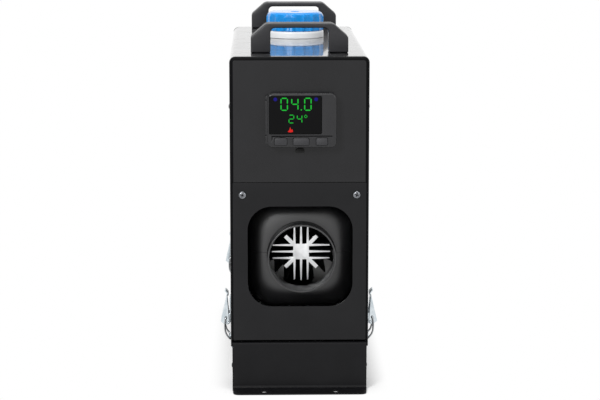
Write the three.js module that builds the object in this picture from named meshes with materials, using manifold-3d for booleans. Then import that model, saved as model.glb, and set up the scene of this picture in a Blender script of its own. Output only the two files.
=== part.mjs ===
// All-in-one diesel air heater: an upright black sheet-metal case on an open tray, with its
// fuel tank, metering pump, controller and warm-air heater inside.
// Millimetres, +Z up. Origin: floor level, middle of the case. The warm-air outlet faces -Y.

import * as THREE from 'three';
import { mergeVertices } from 'three/addons/utils/BufferGeometryUtils.js';
import Module from 'manifold-3d';

const wasm = await Module();
wasm.setup();

// ---------------------------------------------------------------- driving dimensions

const clearance = 0.3; // between pieces that touch

// Case and end panels
const caseWidth = 150;
const caseDepth = 400;
const caseTop = 365;
const skirtBottom = 48; // lower edge of the side walls, which overlap the tray
const panelBottom = 55.4; // lower edge of the front and rear faces
const sheet = 1.2;
const topBend = 7;
const panelEdge = 5; // rounding round the end panels
const panelCorner = 6.5;
const panelReturn = 12; // depth of the folded rim of an end panel
const faceReach = 9; // how far in the cutters of the front and rear faces run
const lap = 0.4; // how far welded sheets of one solid run into each other
const lipDepth = 8; // inner lip of the cover that the end panels slide over

// Outlet plate on the front
const plateTop = 229.4;
const plateMargin = 3; // case wall shown at each side of the plate
const plateSheet = 1.5;
const plateOpening = { width: 113.5, height: 110.2, radius: 26, x: 0.65, z: 148.1 };
const plateBacking = 4; // the panel behind is cut this much wider all round the opening
const plateScrew = { inset: 10.5, z: 216, headRadius: 4.25, headHeight: 2.2, shank: 1.8, length: 8 };

// Tray
const trayHeight = 53;
const traySideGap = 0.4; // between tray and case wall
const traySheet = 1.5;
const trayBend = 3;
const trayFlange = 24;
const flangeStep = 1.4; // the flanges are this much narrower at each side
const flangeCorner = 6;
const flangeHole = { x: 39, inset: 15, radius: 3.5 };
const trayEndGap = 1; // tray wall behind the case's end face
const traySkirtBottom = 10;
const trayArch = { length: 150, height: 33, radius: 12 }; // way out for the pipes at each side

// Warm-air heater, on its own axis
const ductX = 2.6;
const ductHeight = 145;
const casing = { width: 118, height: 122, radius: 30, frontGap: 24, rearGap: 50, wall: 3 };
const casingFlatInset = 0.5; // the casing's flat front ends this far inside the collar's outside
const casingSplit = 3; // the casing halves meet this far above the axis
const outlet = { outer: 37.5, wall: 2, inset: 3.5, rim: 1.5, flangeGap: 0.7, flangeThickness: 2 };
const star = { front: -156.5, pitch: 7.3, root: 3.3, tip: 1.8, reach: 32.5, hub: 7.5 };
const diagonal = { reach: 25, width: 4.5 };
const exchanger = { outer: 30, bore: 26, front: -118, rear: 30, endWall: 4 };
const fin = { count: 18, gap: 14, thickness: 2, front: -108, rear: 22 }; // lengthwise
const burner = { outer: 24, bore: 22, front: -60, flangeGap: 16, flangeThickness: 3, eye: 12 };
const burnerAir = { radius: 3, inset: 20, rows: 3 }; // holes through the chamber's wall
const fuelInlet = { x: 18, y: 31.6, gap: 12, radius: 1.4, root: 8 }; // of the metered fuel
const glow = { y: 14, boss: 8, gap: 12, stem: 3, head: 5.5, headHeight: 7 };
const blower = { gap: 12, wall: 2, length: 29, eye: 14 };
const motor = { radius: 24, length: 42, endBoss: 9, bossLength: 5 };
const controlBox = { width: 64, height: 16, corner: 4, margin: 2, plug: [24, 10, 7] };
const shaft = { radius: 3, front: 36, rear: 137 };
const burnerFan = { gap: 10, front: 40, length: 15, blades: 10, disc: 2, blade: 1.6, hub: 9 };
const burnerVane = { lean: 25, shift: 3 }; // degrees off the radius, and mm along it
const airFan = {
  gap: 8, hub: 16, front: 114, length: 20, blades: 5, blade: 2,
  pitch: 0.62, washout: 0.5, root: 4, // mean pitch, its loss from hub to tip, depth in the hub
};
const exhaust = { y: -20, outer: 12, bore: 10.5, boss: 17 };
const intake = { y: 47, outer: 11, bore: 9.5 };
const pipeEnd = 38; // height of the pipes' lower ends
const pipeHoleGap = 1;

// Heater stand
const stand = { halfSpan: 46, flange: 12, thickness: 2, bend: 3, front: -60, rear: 80, inset: 5 };
const gasket = { width: 86, thickness: 2, radius: 10 };
const foot = { width: 78, height: 7, radius: 8 };

// Rear intake
const grille = { flange: 52, bore: 44.5, wall: 1.5, rings: [16, 30], bar: 2, spokes: 6, proud: 2 };

// Fuel tank, neck and cap
const tank = { sideGap: 5.8, frontGap: 52, rearGap: 18, height: 122, wall: 3, corner: 20, edge: 10 };
const shelfHeight = 228;
const shelfSheet = 1.5;
const shelfRim = 14; // depth of the shelf's folded side rims
const shelfBend = 3;
const neck = { y: 48, outer: 24, wall: 3, rise: 25 };
const collar = { radius: 34, height: 8.2, edge: 2.5 };
const cap = {
  radius: 34.25, rise: 30.3, chamfer: 4.2, roof: 3.4, vent: 4.75, ventDepth: 1.5,
  grips: 18, flute: 2, fluteDepth: 1.1, // the grooves round the side
};
const capBoreGap = 2; // room for the thread between neck and cap
const seal = { width: 10, thickness: 1.5 };

// Fuel train in the front compartment
const fuelBayDepth = 27; // of the upright pieces, behind the front panel
const filter = { x: -25, radius: 8, bottom: 262, top: 304 };
const pump = { x: 50, radius: 14, bottom: 252, top: 322, neckRadius: 8, neckLength: 8 };
const clip = { thickness: 2.5, bottom: 280, height: 14, pad: 8 };
const hose = { radius: 2.6, sides: 5, slack: 34, turn: 26, above: 9 };
const spigot = { radius: 2.6, length: 8 };

// Handles
const handle = { x: 1, width: 106, height: 31.8, depth: 26, leg: 21.4, bar: 4.8, edge: 1.5 };
const handleChamfer = { x: 16.7, z: 14.6 };
const handleInset = { front: 43, rear: 28 }; // of the handles' front faces from the case's ends
const handleThroat = 6; // inner corner radius

// Controller on the front
const controller = { x: 2.35, z: 298.45, width: 72.9, height: 57.7, depth: 15, corner: 5.5 };
const bezelThickness = 4;
const bezelEdge = 1.5;
const controllerWall = 2.5;
const controllerFloor = 3;
const sideStrip = { width: 2.5, notch: 2, notches: [21.3, -16.5], inset: 3 };
const screen = { left: -35, right: 20.9, bottom: -14.3, top: 26.1, recess: 0.4, corner: 1.5 };
const buttons = { bottom: -26.3, top: -18.5, proud: 1, lip: 1.2, lipThickness: 1.5, corner: 1.5 };
const buttonSpans = { left: [-29.3, -16.1], middle: [-9.5, 7.4], right: [15.1, 27.1] };
const groove = { z: -16.6, width: 1, depth: 0.8, inset: 4 };
const grommet = { x: 0.4, z: 264.8, width: 9.6, height: 5, head: 2.2, stem: 2.6, neck: 1 };

// Draw latches, two on each side
const latchInset = 36; // middle of a latch from the case's end
const latch = {
  width: 18, sheet: 1.2, pivotOut: 3.4, pivotHeight: 69.5, pin: 1.25, rivetHead: 0.6, earFoot: 7,
};
const bailPivot = { out: 5.6, height: 74.9 };
const lever = { tip: 104, widest: 11.2, cheek: 1.2, eye: 2.7, back: 1.5, spine: 1, lip: 4 };
const leverHeel = { out: 4.5, drop: 1.9, shoulder: 0.8 }; // all measured from the pivot
const bail = { wire: 1, barOut: 1, barHeight: 50.6, holeGap: 0.35 };
const tongue = { reach: 2.6, slope: 0.32, thickness: 1, width: 14 };
const latchPlate = { bottom: 72, top: 97 };
const catchPlateBottom = 40;
const notchMargin = 5.2; // of the notch in the case wall at each side of a bail

// Cable gland in the rear panel
const gland = { x: -50, z: 262, thread: 7.7, bore: 3.6, flange: 11, dome: 9 };

// ---------------------------------------------------------------- materials

const finish = (color, roughness, metalness = 0) =>
  new THREE.MeshStandardMaterial({ color, roughness, metalness });
const finishes = {
  powderCoat: () => finish(0x2a2a2c, 0.35),
  trayCoat: () => finish(0x242426, 0.45),
  blackPlastic: () => finish(0x1a1a1c, 0.5),
  handlePlastic: () => finish(0x222224, 0.45),
  casingPlastic: () => finish(0x161617, 0.4),
  castAluminium: () => finish(0xb9bbbd, 0.5, 0.9),
  zinc: () => finish(0xb8c0c4, 0.35, 0.9),
  steel: () => finish(0x8c8f92, 0.35, 0.9),
  stainless: () => finish(0xa7a9ab, 0.3, 1),
  rubber: () => finish(0x111111, 0.8),
  naturalTank: () => finish(0xe4e4dc, 0.5),
  whitePlastic: () => finish(0xf0f2f4, 0.35),
  bluePlastic: () => finish(0x1096e0, 0.35),
  glass: () => finish(0x0a0c0e, 0.1),
  darkLine: () => finish(0x20241f, 0.4),
};

// ---------------------------------------------------------------- modelling helpers

const full = 2 * Math.PI;
const right = Math.PI / 2;
const bothWays = [1, -1];
const ordered = (a, b) => (a < b ? [a, b] : [b, a]);

/** A closed geometry as a manifold solid. */
function solid(geometry) {
  const bare = geometry.clone();
  bare.deleteAttribute('normal');
  bare.deleteAttribute('uv');
  const merged = mergeVertices(bare, 1e-4);
  const mesh = new wasm.Mesh({
    numProp: 3,
    vertProperties: merged.attributes.position.array,
    triVerts: Uint32Array.from(merged.index.array),
  });
  return new wasm.Manifold(mesh);
}

/** A manifold solid as a three.js geometry. */
function geometryOf(body) {
  const mesh = body.getMesh();
  const geometry = new THREE.BufferGeometry();
  geometry.setAttribute('position', new THREE.BufferAttribute(mesh.vertProperties, 3));
  geometry.setIndex(new THREE.BufferAttribute(mesh.triVerts, 1));
  geometry.computeVertexNormals();
  return geometry;
}

const join = (...bodies) => bodies.reduce((sum, body) => sum.add(body));
const cut = (body, ...tools) => tools.reduce((rest, tool) => rest.subtract(tool), body);

// An outline drawn in (y, z), (x, z) or (x, y) is carried along the axis that it leaves out.
const carriers = {
  x: new THREE.Matrix4().set(0, 0, 1, 0, 1, 0, 0, 0, 0, 1, 0, 0, 0, 0, 0, 1),
  y: new THREE.Matrix4().set(1, 0, 0, 0, 0, 0, -1, 0, 0, 1, 0, 0, 0, 0, 0, 1),
  z: new THREE.Matrix4(),
};

/** A straight prism from `from` to `to` along an axis; `edge` rounds the rims of both ends. */
function prism(axis, outline, from, to, { edge = 0, steps = 3, curve = 2 } = {}) {
  const geometry = new THREE.ExtrudeGeometry(outline, {
    depth: to - from - 2 * edge,
    curveSegments: curve,
    bevelEnabled: edge > 0,
    bevelThickness: edge,
    bevelSize: edge,
    bevelOffset: -edge,
    bevelSegments: steps,
  });
  const start = axis === 'y' ? edge - to : from + edge;
  geometry.translate(0, 0, start);
  return solid(geometry.applyMatrix4(carriers[axis]));
}

/** A box between two corners. */
function box(low, high) {
  const size = high.map((value, i) => value - low[i]);
  const middle = high.map((value, i) => (value + low[i]) / 2);
  return solid(new THREE.BoxGeometry(...size).translate(...middle));
}

const turnAxis = {
  x: (geometry) => geometry.rotateZ(-right),
  y: (geometry) => geometry,
  z: (geometry) => geometry.rotateX(right),
};

/** A closed profile of [radius, height] pairs, counter-clockwise, turned about an axis. */
function turned(axis, profile, sides = 16, centre = [0, 0, 0]) {
  const points = [...profile, profile[0]].map(([r, h]) => new THREE.Vector2(r, h));
  const geometry = turnAxis[axis](new THREE.LatheGeometry(points, sides));
  return solid(geometry.translate(...centre));
}

/** A disc or rod about an axis through `centre`. */
function rod(axis, radius, from, to, centre = [0, 0, 0], sides = 16) {
  const geometry = new THREE.CylinderGeometry(radius, radius, to - from, sides);
  geometry.translate(0, (from + to) / 2, 0);
  return solid(turnAxis[axis](geometry).translate(...centre));
}

/** A pipe wall about an axis through `centre`. */
function sleeve(axis, outer, bore, from, to, centre = [0, 0, 0], sides = 16) {
  return turned(axis, [[bore, from], [outer, from], [outer, to], [bore, to]], sides, centre);
}

/** A round section swept along a smooth curve through the points. */
function sweep(points, radius, sides, steps) {
  const path = new THREE.CatmullRomCurve3(points.map((point) => new THREE.Vector3(...point)));
  const section = new THREE.Shape();
  for (let i = 0; i < sides; i += 1) {
    const angle = (full * i) / sides;
    const place = [radius * Math.cos(angle), radius * Math.sin(angle)];
    if (i === 0) section.moveTo(...place);
    else section.lineTo(...place);
  }
  section.closePath();
  return solid(new THREE.ExtrudeGeometry(section, { extrudePath: path, steps }));
}

/** A closed outline through [u, v] points. */
function polygon(points) {
  const shape = new THREE.Shape();
  shape.moveTo(...points[0]);
  points.slice(1).forEach((point) => shape.lineTo(...point));
  shape.closePath();
  return shape;
}

/** A rectangle between two corners, with rounded corners. */
function roundedRectangle(left, bottom, width, height, radius) {
  const [rightSide, top] = [left + width, bottom + height];
  const shape = new THREE.Shape();
  shape.moveTo(left + radius, bottom);
  shape.absarc(rightSide - radius, bottom + radius, radius, -right, 0);
  shape.absarc(rightSide - radius, top - radius, radius, 0, right);
  shape.absarc(left + radius, top - radius, radius, right, 2 * right);
  shape.absarc(left + radius, bottom + radius, radius, 2 * right, 3 * right);
  return shape;
}

const centredRectangle = (width, height, radius, u = 0, v = 0) =>
  roundedRectangle(u - width / 2, v - height / 2, width, height, radius);

/** A top-hat section of bent sheet: flange, wall, deck, wall, flange. */
function hatSection({ halfSpan, height, flange, thickness, bend }) {
  const end = halfSpan + flange;
  const outerBend = bend + thickness;
  const shape = new THREE.Shape();
  shape.moveTo(-end, thickness);
  shape.absarc(-halfSpan - bend, outerBend, bend, -right, 0);
  shape.absarc(-halfSpan + bend, height - bend, bend, 2 * right, right, true);
  shape.absarc(halfSpan - bend, height - bend, bend, right, 0, true);
  shape.absarc(halfSpan + bend, outerBend, bend, 2 * right, 3 * right);
  shape.lineTo(end, thickness);
  shape.lineTo(end, 0);
  shape.absarc(halfSpan + bend, outerBend, outerBend, 3 * right, 2 * right, true);
  shape.absarc(halfSpan - bend, height - bend, bend - thickness, 0, right);
  shape.absarc(-halfSpan + bend, height - bend, bend - thickness, right, 2 * right);
  shape.absarc(-halfSpan - bend, outerBend, outerBend, 0, -right, true);
  shape.lineTo(-end, 0);
  shape.closePath();
  return shape;
}

const heater = new THREE.Group();

/** Adds a named piece to a group. */
function addPiece(group, name, body, material) {
  const mesh = new THREE.Mesh(geometryOf(body), material);
  mesh.name = name;
  group.add(mesh);
  return mesh;
}

function addGroup(parent, x, y, z) {
  const group = new THREE.Group();
  group.position.set(x, y, z);
  parent.add(group);
  return group;
}

// ---------------------------------------------------------------- derived places

const wallX = caseWidth / 2;
const endY = caseDepth / 2;
const innerX = wallX - sheet;
const seamY = endY - panelReturn;
const trayEnd = endY - trayEndGap;
const trayX = innerX - traySideGap;
const deckTop = trayHeight;
const casingFront = -endY + casing.frontGap;
const casingRear = endY - casing.rearGap;
const casingTop = casing.height / 2; // from the heater's axis, as all its heights are
const casingFloor = -casingTop + casing.wall;
const casingDome = Math.min(casing.width, casing.height) / 2 - outlet.outer + casingFlatInset;
const heaterRoom = casingTop - casing.wall; // clear radius inside the casing
const inletTop = heaterRoom - fuelInlet.gap;
const glowSeat = heaterRoom - glow.gap;
const blowerOuter = heaterRoom - blower.gap;
const tankX = innerX - tank.sideGap;
const tankFront = -endY + tank.frontGap;
const tankRear = endY - tank.rearGap;
const fuelBay = -endY + fuelBayDepth;
const neckTop = caseTop + neck.rise;
const capTop = caseTop + cap.rise;
const latchY = endY - latchInset;
const plateBack = -endY + plateSheet;
const plateHalf = wallX - plateMargin;
const plateScrewX = plateHalf - plateScrew.inset;
const standBase = deckTop + clearance;
const footTop = ductHeight - casingTop;
const footBottom = footTop - foot.height + casing.wall;
const gasketTop = footBottom - clearance;
const standTop = gasketTop - gasket.thickness - clearance;
const tankBottom = shelfHeight + clearance;
const tankTop = tankBottom + tank.height;
const neckAt = [0, neck.y, 0];
const neckSides = 24;
const tankOutletZ = filter.top + 20;

// ---------------------------------------------------------------- tray

function pipeHole(pipe, from, to) {
  return rod('z', pipe.outer + pipeHoleGap, from, to, [ductX, pipe.y, 0]);
}

function baseTray() {
  const hat = hatSection({
    halfSpan: trayEnd,
    height: trayHeight,
    flange: trayFlange,
    thickness: traySheet,
    bend: trayBend,
  });
  const length = 2 * (trayEnd + trayFlange);
  const sheetMetal = prism('x', hat, -trayX, trayX, { curve: 1 });
  const footprint = join(
    box([-trayX, -trayEnd, 0], [trayX, trayEnd, trayHeight]),
    prism('z', centredRectangle(2 * (trayX - flangeStep), length, flangeCorner), 0, trayBend + traySheet),
  );
  const skirts = bothWays.map((side) => {
    const [near, far] = ordered(side * (trayX - traySheet), side * trayX);
    const reach = trayEnd - trayBend;
    return box([near, -reach, traySkirtBottom], [far, reach, trayHeight - traySheet / 2]);
  });
  const arch = centredRectangle(trayArch.length, 2 * trayArch.height, trayArch.radius);
  const holes = bothWays.flatMap((side) =>
    bothWays.map((end) =>
      rod(
        'z',
        flangeHole.radius,
        -1,
        traySheet + 1,
        [side * flangeHole.x, end * (trayEnd + flangeHole.inset), 0],
        12,
      ),
    ),
  );
  return cut(
    join(sheetMetal.intersect(footprint), ...skirts),
    prism('x', arch, -wallX, wallX),
    ...holes,
    pipeHole(exhaust, 0, trayHeight + 1),
    pipeHole(intake, 0, trayHeight + 1),
  );
}

// ---------------------------------------------------------------- case

/** The case's cross-section, inset from its outside by `inset`. */
function caseArch(inset, bottom) {
  const [half, top, radius] = [wallX - inset, caseTop - inset, topBend - inset];
  const shape = new THREE.Shape();
  shape.moveTo(-half, bottom);
  shape.lineTo(half, bottom);
  shape.absarc(half - radius, top - radius, radius, 0, right);
  shape.absarc(-half + radius, top - radius, radius, right, 2 * right);
  shape.closePath();
  return shape;
}

function bentSheet(inset, reach) {
  const outside = prism('y', caseArch(inset, skirtBottom), -reach, reach);
  const inside = prism('y', caseArch(inset + sheet, skirtBottom - 1), -reach - 1, reach + 1);
  return cut(outside, inside);
}

function caseCover() {
  const outer = bentSheet(0, seamY - clearance);
  const lipInset = sheet + clearance;
  const lip = bentSheet(lipInset, seamY + lipDepth);
  const joggleReach = seamY - clearance;
  const joggle = cut(
    prism('y', caseArch(0, skirtBottom), -joggleReach, joggleReach),
    prism('y', caseArch(lipInset + sheet, 0), -joggleReach - 1, joggleReach + 1),
    prism('y', caseArch(-1, 0), -joggleReach + 2 * sheet, joggleReach - 2 * sheet),
  );
  const lipMiddle = prism('y', caseArch(-1, 0), -joggleReach + sheet, joggleReach - sheet);
  const trayRoom = box([-trayX - clearance, -endY, 0], [trayX + clearance, endY, panelBottom]);
  const notch = armY + notchMargin;
  const notches = bothWays.map((end) =>
    box(
      [-wallX - 1, end * latchY - notch, 0],
      [wallX + 1, end * latchY + notch, panelBottom],
    ),
  );
  const neckHole = rod('z', neck.outer + clearance, tankTop, caseTop + 1, neckAt, neckSides);
  const ends = join(cut(lip, lipMiddle), joggle);
  return cut(join(outer, cut(ends, trayRoom)), ...notches, neckHole);
}

/** A pressed pan that closes one end of the case; `end` is -1 at the front, 1 at the rear. */
function endPan(end) {
  const low = skirtBottom - 2 * panelCorner;
  const outline = (inset) =>
    roundedRectangle(
      -wallX + inset,
      low + inset,
      caseWidth - 2 * inset,
      caseTop - low - 2 * inset,
      panelCorner - inset,
    );
  const reach = 4 * panelReturn;
  const options = { edge: panelEdge };
  const inner = { edge: panelEdge - sheet };
  const along = (near, far) => ordered(end * near, end * far);
  const outside = prism('y', outline(0), ...along(endY, endY - reach), options);
  const inside = prism('y', outline(sheet), ...along(endY - sheet, endY - reach), inner);
  const [from, to] = along(seamY, endY - reach - 1);
  const [faceFrom, faceTo] = along(endY + 1, endY - 2 * sheet);
  return cut(
    outside,
    inside,
    box([-wallX - 1, from, low - 1], [wallX + 1, to, caseTop + 1]),
    box([-wallX - 1, -endY - 1, low - 1], [wallX + 1, endY + 1, skirtBottom]),
    box([-innerX, faceFrom, low], [innerX, faceTo, panelBottom]),
    box([-innerX, from - panelReturn, low], [innerX, to + panelReturn, panelBottom]),
  );
}

/** A cutter through the front face, or through the rear one where `end` is 1. */
const faceCut = (end, outline, options) =>
  prism('y', outline, ...ordered(end * (endY + 1), end * (endY - faceReach)), options);
const faceBore = (end, radius, x, z, sides) =>
  rod('y', radius, ...ordered(end * (endY + 1), end * (endY - faceReach)), [x, 0, z], sides);
const plateScrewHoles = () =>
  bothWays.map((side) => faceBore(-1, plateScrew.shank + clearance, side * plateScrewX, plateScrew.z, 12));

function frontPanel() {
  const halfRecess = plateHalf + clearance;
  const recessTop = plateTop + 2 * clearance;
  const shelfY = plateBack + clearance;
  const recess = box([-halfRecess, -endY - 1, 0], [halfRecess, shelfY, recessTop]);
  const backing = box(
    [-innerX - lap, shelfY, panelBottom],
    [innerX + lap, shelfY + sheet, recessTop + sheet],
  );
  const { width, height, radius, x, z } = plateOpening;
  const way = centredRectangle(width + 2 * plateBacking, height + 2 * plateBacking, radius, x, z);
  const [neckWidth, neckHeight] = grommetNeck(clearance);
  const grommetHole = centredRectangle(neckWidth, neckHeight, grommet.neck, grommet.x, grommet.z);
  return cut(
    join(cut(endPan(-1), recess), backing),
    faceCut(-1, way),
    faceCut(-1, grommetHole, { curve: 1 }),
    ...plateScrewHoles(),
  );
}

function outletPlate() {
  const { width, height, radius, x, z } = plateOpening;
  const outline = roundedRectangle(-plateHalf, panelBottom, 2 * plateHalf, plateTop - panelBottom, 1);
  return cut(
    prism('y', outline, -endY, plateBack, { curve: 1 }),
    faceCut(-1, centredRectangle(width, height, radius, x, z), { curve: 4 }),
    ...plateScrewHoles(),
  );
}

function plateScrewBody() {
  const { headRadius, headHeight, shank, length } = plateScrew;
  const head = [
    [0, -headHeight],
    [headRadius * 0.6, -headHeight],
    [headRadius, -headHeight * 0.45],
    [headRadius, 0],
    [shank, 0],
    [shank, length],
    [0, length],
  ];
  return turned('y', head, 12);
}

function rearPanel() {
  return cut(
    endPan(1),
    faceBore(1, grille.bore + grille.wall + clearance, ductX, ductHeight, 24),
    faceBore(1, gland.thread + clearance, gland.x, gland.z, 10),
  );
}

function intakeGrille() {
  const tubeOuter = grille.bore + grille.wall;
  const barFrom = endY - 1;
  const barTo = endY + grille.proud;
  const tubeFrom = casingRear + clearance;
  const wall = sleeve('y', tubeOuter, grille.bore, tubeFrom, endY + clearance, [0, 0, 0], 24);
  const rim = sleeve('y', grille.flange, grille.bore, endY + clearance, barTo, [0, 0, 0], 24);
  const rings = grille.rings.map((radius) =>
    sleeve('y', radius + grille.bar / 2, radius - grille.bar / 2, barFrom, barTo, [0, 0, 0], 12),
  );
  const spokes = Array.from({ length: grille.spokes }, (_, i) => {
    const bar = box(
      [grille.rings[0], barFrom, -grille.bar / 2],
      [grille.bore + grille.wall / 2, barTo, grille.bar / 2],
    );
    return bar.rotate([0, (360 * i) / grille.spokes, 0]);
  });
  return join(wall, rim, ...rings, ...spokes);
}

function cableGland() {
  const inside = endY - sheet - clearance;
  const profile = [
    [gland.bore, inside - 12],
    [gland.thread, inside - 12],
    [gland.thread, inside - 7],
    [gland.flange, inside - 7],
    [gland.flange, inside],
    [gland.thread, inside],
    [gland.thread, endY + clearance],
    [gland.flange, endY + clearance],
    [gland.flange, endY + 6],
    [gland.dome, endY + 7],
    [gland.dome, endY + 12],
    [gland.dome * 0.6, endY + 17],
    [gland.bore, endY + 17],
  ];
  return turned('y', profile, 10);
}

// ---------------------------------------------------------------- handles

function handleBody() {
  const { width, height, leg, bar, depth, edge } = handle;
  const half = width / 2;
  const inner = half - leg;
  const soffit = height - bar;
  const shape = new THREE.Shape();
  shape.moveTo(-half, clearance);
  shape.lineTo(-inner, clearance);
  shape.absarc(-inner + handleThroat, soffit - handleThroat, handleThroat, 2 * right, right, true);
  shape.absarc(inner - handleThroat, soffit - handleThroat, handleThroat, right, 0, true);
  shape.lineTo(inner, clearance);
  shape.lineTo(half, clearance);
  shape.lineTo(half, height - handleChamfer.z);
  shape.lineTo(half - handleChamfer.x, height);
  shape.lineTo(-half + handleChamfer.x, height);
  shape.lineTo(-half, height - handleChamfer.z);
  shape.closePath();
  return prism('y', shape, 0, depth, { edge, steps: 2 });
}

// ---------------------------------------------------------------- controller

const controllerBack = -clearance;
const bezelBack = -controller.depth + bezelThickness;

function controllerCase() {
  const { width, height, corner } = controller;
  const caseFront = bezelBack + clearance;
  const outline = centredRectangle(width, height, corner);
  const pocket = centredRectangle(
    width - 2 * controllerWall,
    height - 2 * controllerWall,
    corner - controllerWall,
  );
  const strip = roundedRectangle(
    -width / 2 - sideStrip.width,
    -height / 2 + sideStrip.inset,
    corner,
    height - 2 * sideStrip.inset,
    1,
  );
  const notch = (z) =>
    box(
      [-width / 2 - sideStrip.width - 1, caseFront - 1, z - sideStrip.notch / 2],
      [-width / 2 - sideStrip.width / 2, controllerBack + 1, z + sideStrip.notch / 2],
    );
  return cut(
    join(
      prism('y', outline, caseFront, controllerBack),
      prism('y', strip, caseFront + 1, controllerBack, { curve: 1 }),
    ),
    prism('y', pocket, caseFront - 1, controllerBack - controllerFloor),
    ...sideStrip.notches.map(notch),
  );
}

function buttonOutline(span, grow = 0) {
  const { bottom, top, corner } = buttons;
  return roundedRectangle(
    span[0] - grow,
    bottom - grow,
    span[1] - span[0] + 2 * grow,
    top - bottom + 2 * grow,
    corner,
  );
}

function screenOutline(grow = 0) {
  const { left, right: far, bottom, top, corner } = screen;
  const [width, height] = [far - left + 2 * grow, top - bottom + 2 * grow];
  return roundedRectangle(left - grow, bottom - grow, width, height, corner);
}

function controllerBezel() {
  const { width, height, corner, depth } = controller;
  const plate = cut(
    prism('y', centredRectangle(width, height, corner), -depth, bezelBack + bezelThickness, {
      edge: bezelEdge,
      steps: 2,
    }),
    box([-width, bezelBack, -height], [width, controllerBack, height]),
  );
  const throughBezel = (outline) => prism('y', outline, -depth - 1, bezelBack + 1, { curve: 1 });
  const slots = Object.values(buttonSpans).map((span) => throughBezel(buttonOutline(span, clearance)));
  const line = box(
    [-width / 2 + groove.inset, -depth - 1, groove.z - groove.width / 2],
    [width / 2 - groove.inset, -depth + groove.depth, groove.z + groove.width / 2],
  );
  return cut(plate, throughBezel(screenOutline(clearance)), ...slots, line);
}

function displayModule() {
  const front = -controller.depth + screen.recess;
  const back = controllerBack - controllerFloor - clearance;
  const wallSide = -controller.width / 2 + controllerWall + clearance;
  const body = box([wallSide, bezelBack - 1, screen.bottom + 1], [screen.right - 1, back, screen.top - 3]);
  return join(prism('y', screenOutline(), front, bezelBack, { curve: 1 }), body);
}

function buttonBody(span) {
  const capFront = -controller.depth - buttons.proud;
  const lipFront = bezelBack + clearance;
  const lipBack = lipFront + buttons.lipThickness;
  return join(
    prism('y', buttonOutline(span), capFront, lipBack, { curve: 1 }),
    box([span[0] - buttons.lip, lipFront, buttons.bottom], [span[1] + buttons.lip, lipBack, buttons.top]),
  );
}

/** Width and height of the grommet's neck, or of its hole. */
const grommetNeck = (grow = 0) =>
  [grommet.width, grommet.height].map((side) => side - 2 * grommet.neck + grow);

function grommetBody() {
  const { width, height, head, stem, neck } = grommet;
  const arch = new THREE.Shape();
  arch.moveTo(-width / 2, -height / 2);
  arch.lineTo(width / 2, -height / 2);
  arch.lineTo(width / 2, 0);
  arch.absellipse(0, 0, width / 2, height / 2, 0, 2 * right);
  arch.closePath();
  return join(
    prism('y', arch, -head - clearance, -clearance),
    prism('y', centredRectangle(...grommetNeck(), neck), -clearance - lap, stem, { curve: 1 }),
  );
}

// ---------------------------------------------------------------- warm-air heater

function casingBlock(inset) {
  const { width, height, radius } = casing;
  const outline = centredRectangle(width - 2 * inset, height - 2 * inset, radius - inset);
  const curve = inset > 0 ? 1 : 2;
  return prism('y', outline, casingFront + inset, casingRear - inset, { edge: casingDome - inset, curve });
}

/** An outline on the stand's deck, a little shorter than the deck. */
function onStand(width, radius, x) {
  const length = stand.rear - stand.front - 2 * stand.inset;
  return centredRectangle(width, length, radius, x, (stand.rear + stand.front) / 2);
}

function casingHalves() {
  const { width, height, wall } = casing;
  const holes = [
    rod('y', outlet.outer + clearance, casingFront - 1, casingFront + 2 * wall, [0, 0, 0], outletSides),
    rod('y', grille.bore - 2, casingRear - 2 * wall, casingRear + 1, [0, 0, 0], 24),
  ];
  const shell = cut(casingBlock(0), casingBlock(wall), ...holes);
  const half = (bottom, top) => box([-width, casingFront - 1, bottom], [width, casingRear + 1, top]);
  const lower = shell.intersect(half(-height, casingSplit - clearance / 2));
  const upper = shell.intersect(half(casingSplit + clearance / 2, height));
  const footPad = prism(
    'z',
    onStand(foot.width, foot.radius, 0),
    footBottom - ductHeight,
    casingFloor - wall / 2,
    { curve: 1 },
  );
  const drop = (pipe) =>
    rod('z', pipe.outer + pipeHoleGap, -height, casingFloor + wall, [0, pipe.y, 0]);
  const inletAt = [fuelInlet.x, fuelInlet.y, 0];
  const fuelWay = rod('z', 2 * hose.radius, casingTop - 2 * wall, casingTop + 1, inletAt, 12);
  return {
    lower: cut(join(lower, footPad), drop(exhaust), drop(intake)),
    upper: cut(upper, fuelWay),
  };
}

const outletSides = 32;

function outletRing() {
  const { outer, wall, inset, rim, flangeGap, flangeThickness } = outlet;
  const [bore, flange, front] = [outer - wall, outer + rim, -endY + inset];
  const flangeFront = casingFront + casing.wall + flangeGap;
  const profile = [
    [bore, front + 1],
    [bore + 0.6, front],
    [outer - 0.4, front],
    [outer, front + 1],
    [outer, flangeFront],
    [flange, flangeFront],
    [flange, flangeFront + flangeThickness],
    [bore, flangeFront + flangeThickness],
  ];
  return turned('y', profile, outletSides);
}

/** The end ribs of the heat exchanger: three parallel ribs each way and a diagonal between. */
function starRibs() {
  const back = exchanger.front + exchanger.endWall / 2;
  const pieces = [];
  for (let quarter = 0; quarter < 4; quarter += 1) {
    [-1, 0, 1].forEach((row) => {
      const middle = row * star.pitch;
      const end = Math.sqrt(star.reach ** 2 - middle ** 2);
      const rib = polygon([
        [0, middle - star.root / 2],
        [end, middle - star.tip / 2],
        [end, middle + star.tip / 2],
        [0, middle + star.root / 2],
      ]);
      pieces.push(prism('y', rib, star.front, back).rotate([0, 90 * quarter, 0]));
    });
    const arm = polygon([
      [0, -diagonal.width / 2],
      [diagonal.reach, -diagonal.width / 2],
      [diagonal.reach, diagonal.width / 2],
      [0, diagonal.width / 2],
    ]);
    pieces.push(prism('y', arm, star.front, back).rotate([0, 45 + 90 * quarter, 0]));
  }
  const { hub } = star;
  return join(box([-hub, star.front, -hub], [hub, back, hub]), ...pieces);
}

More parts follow.
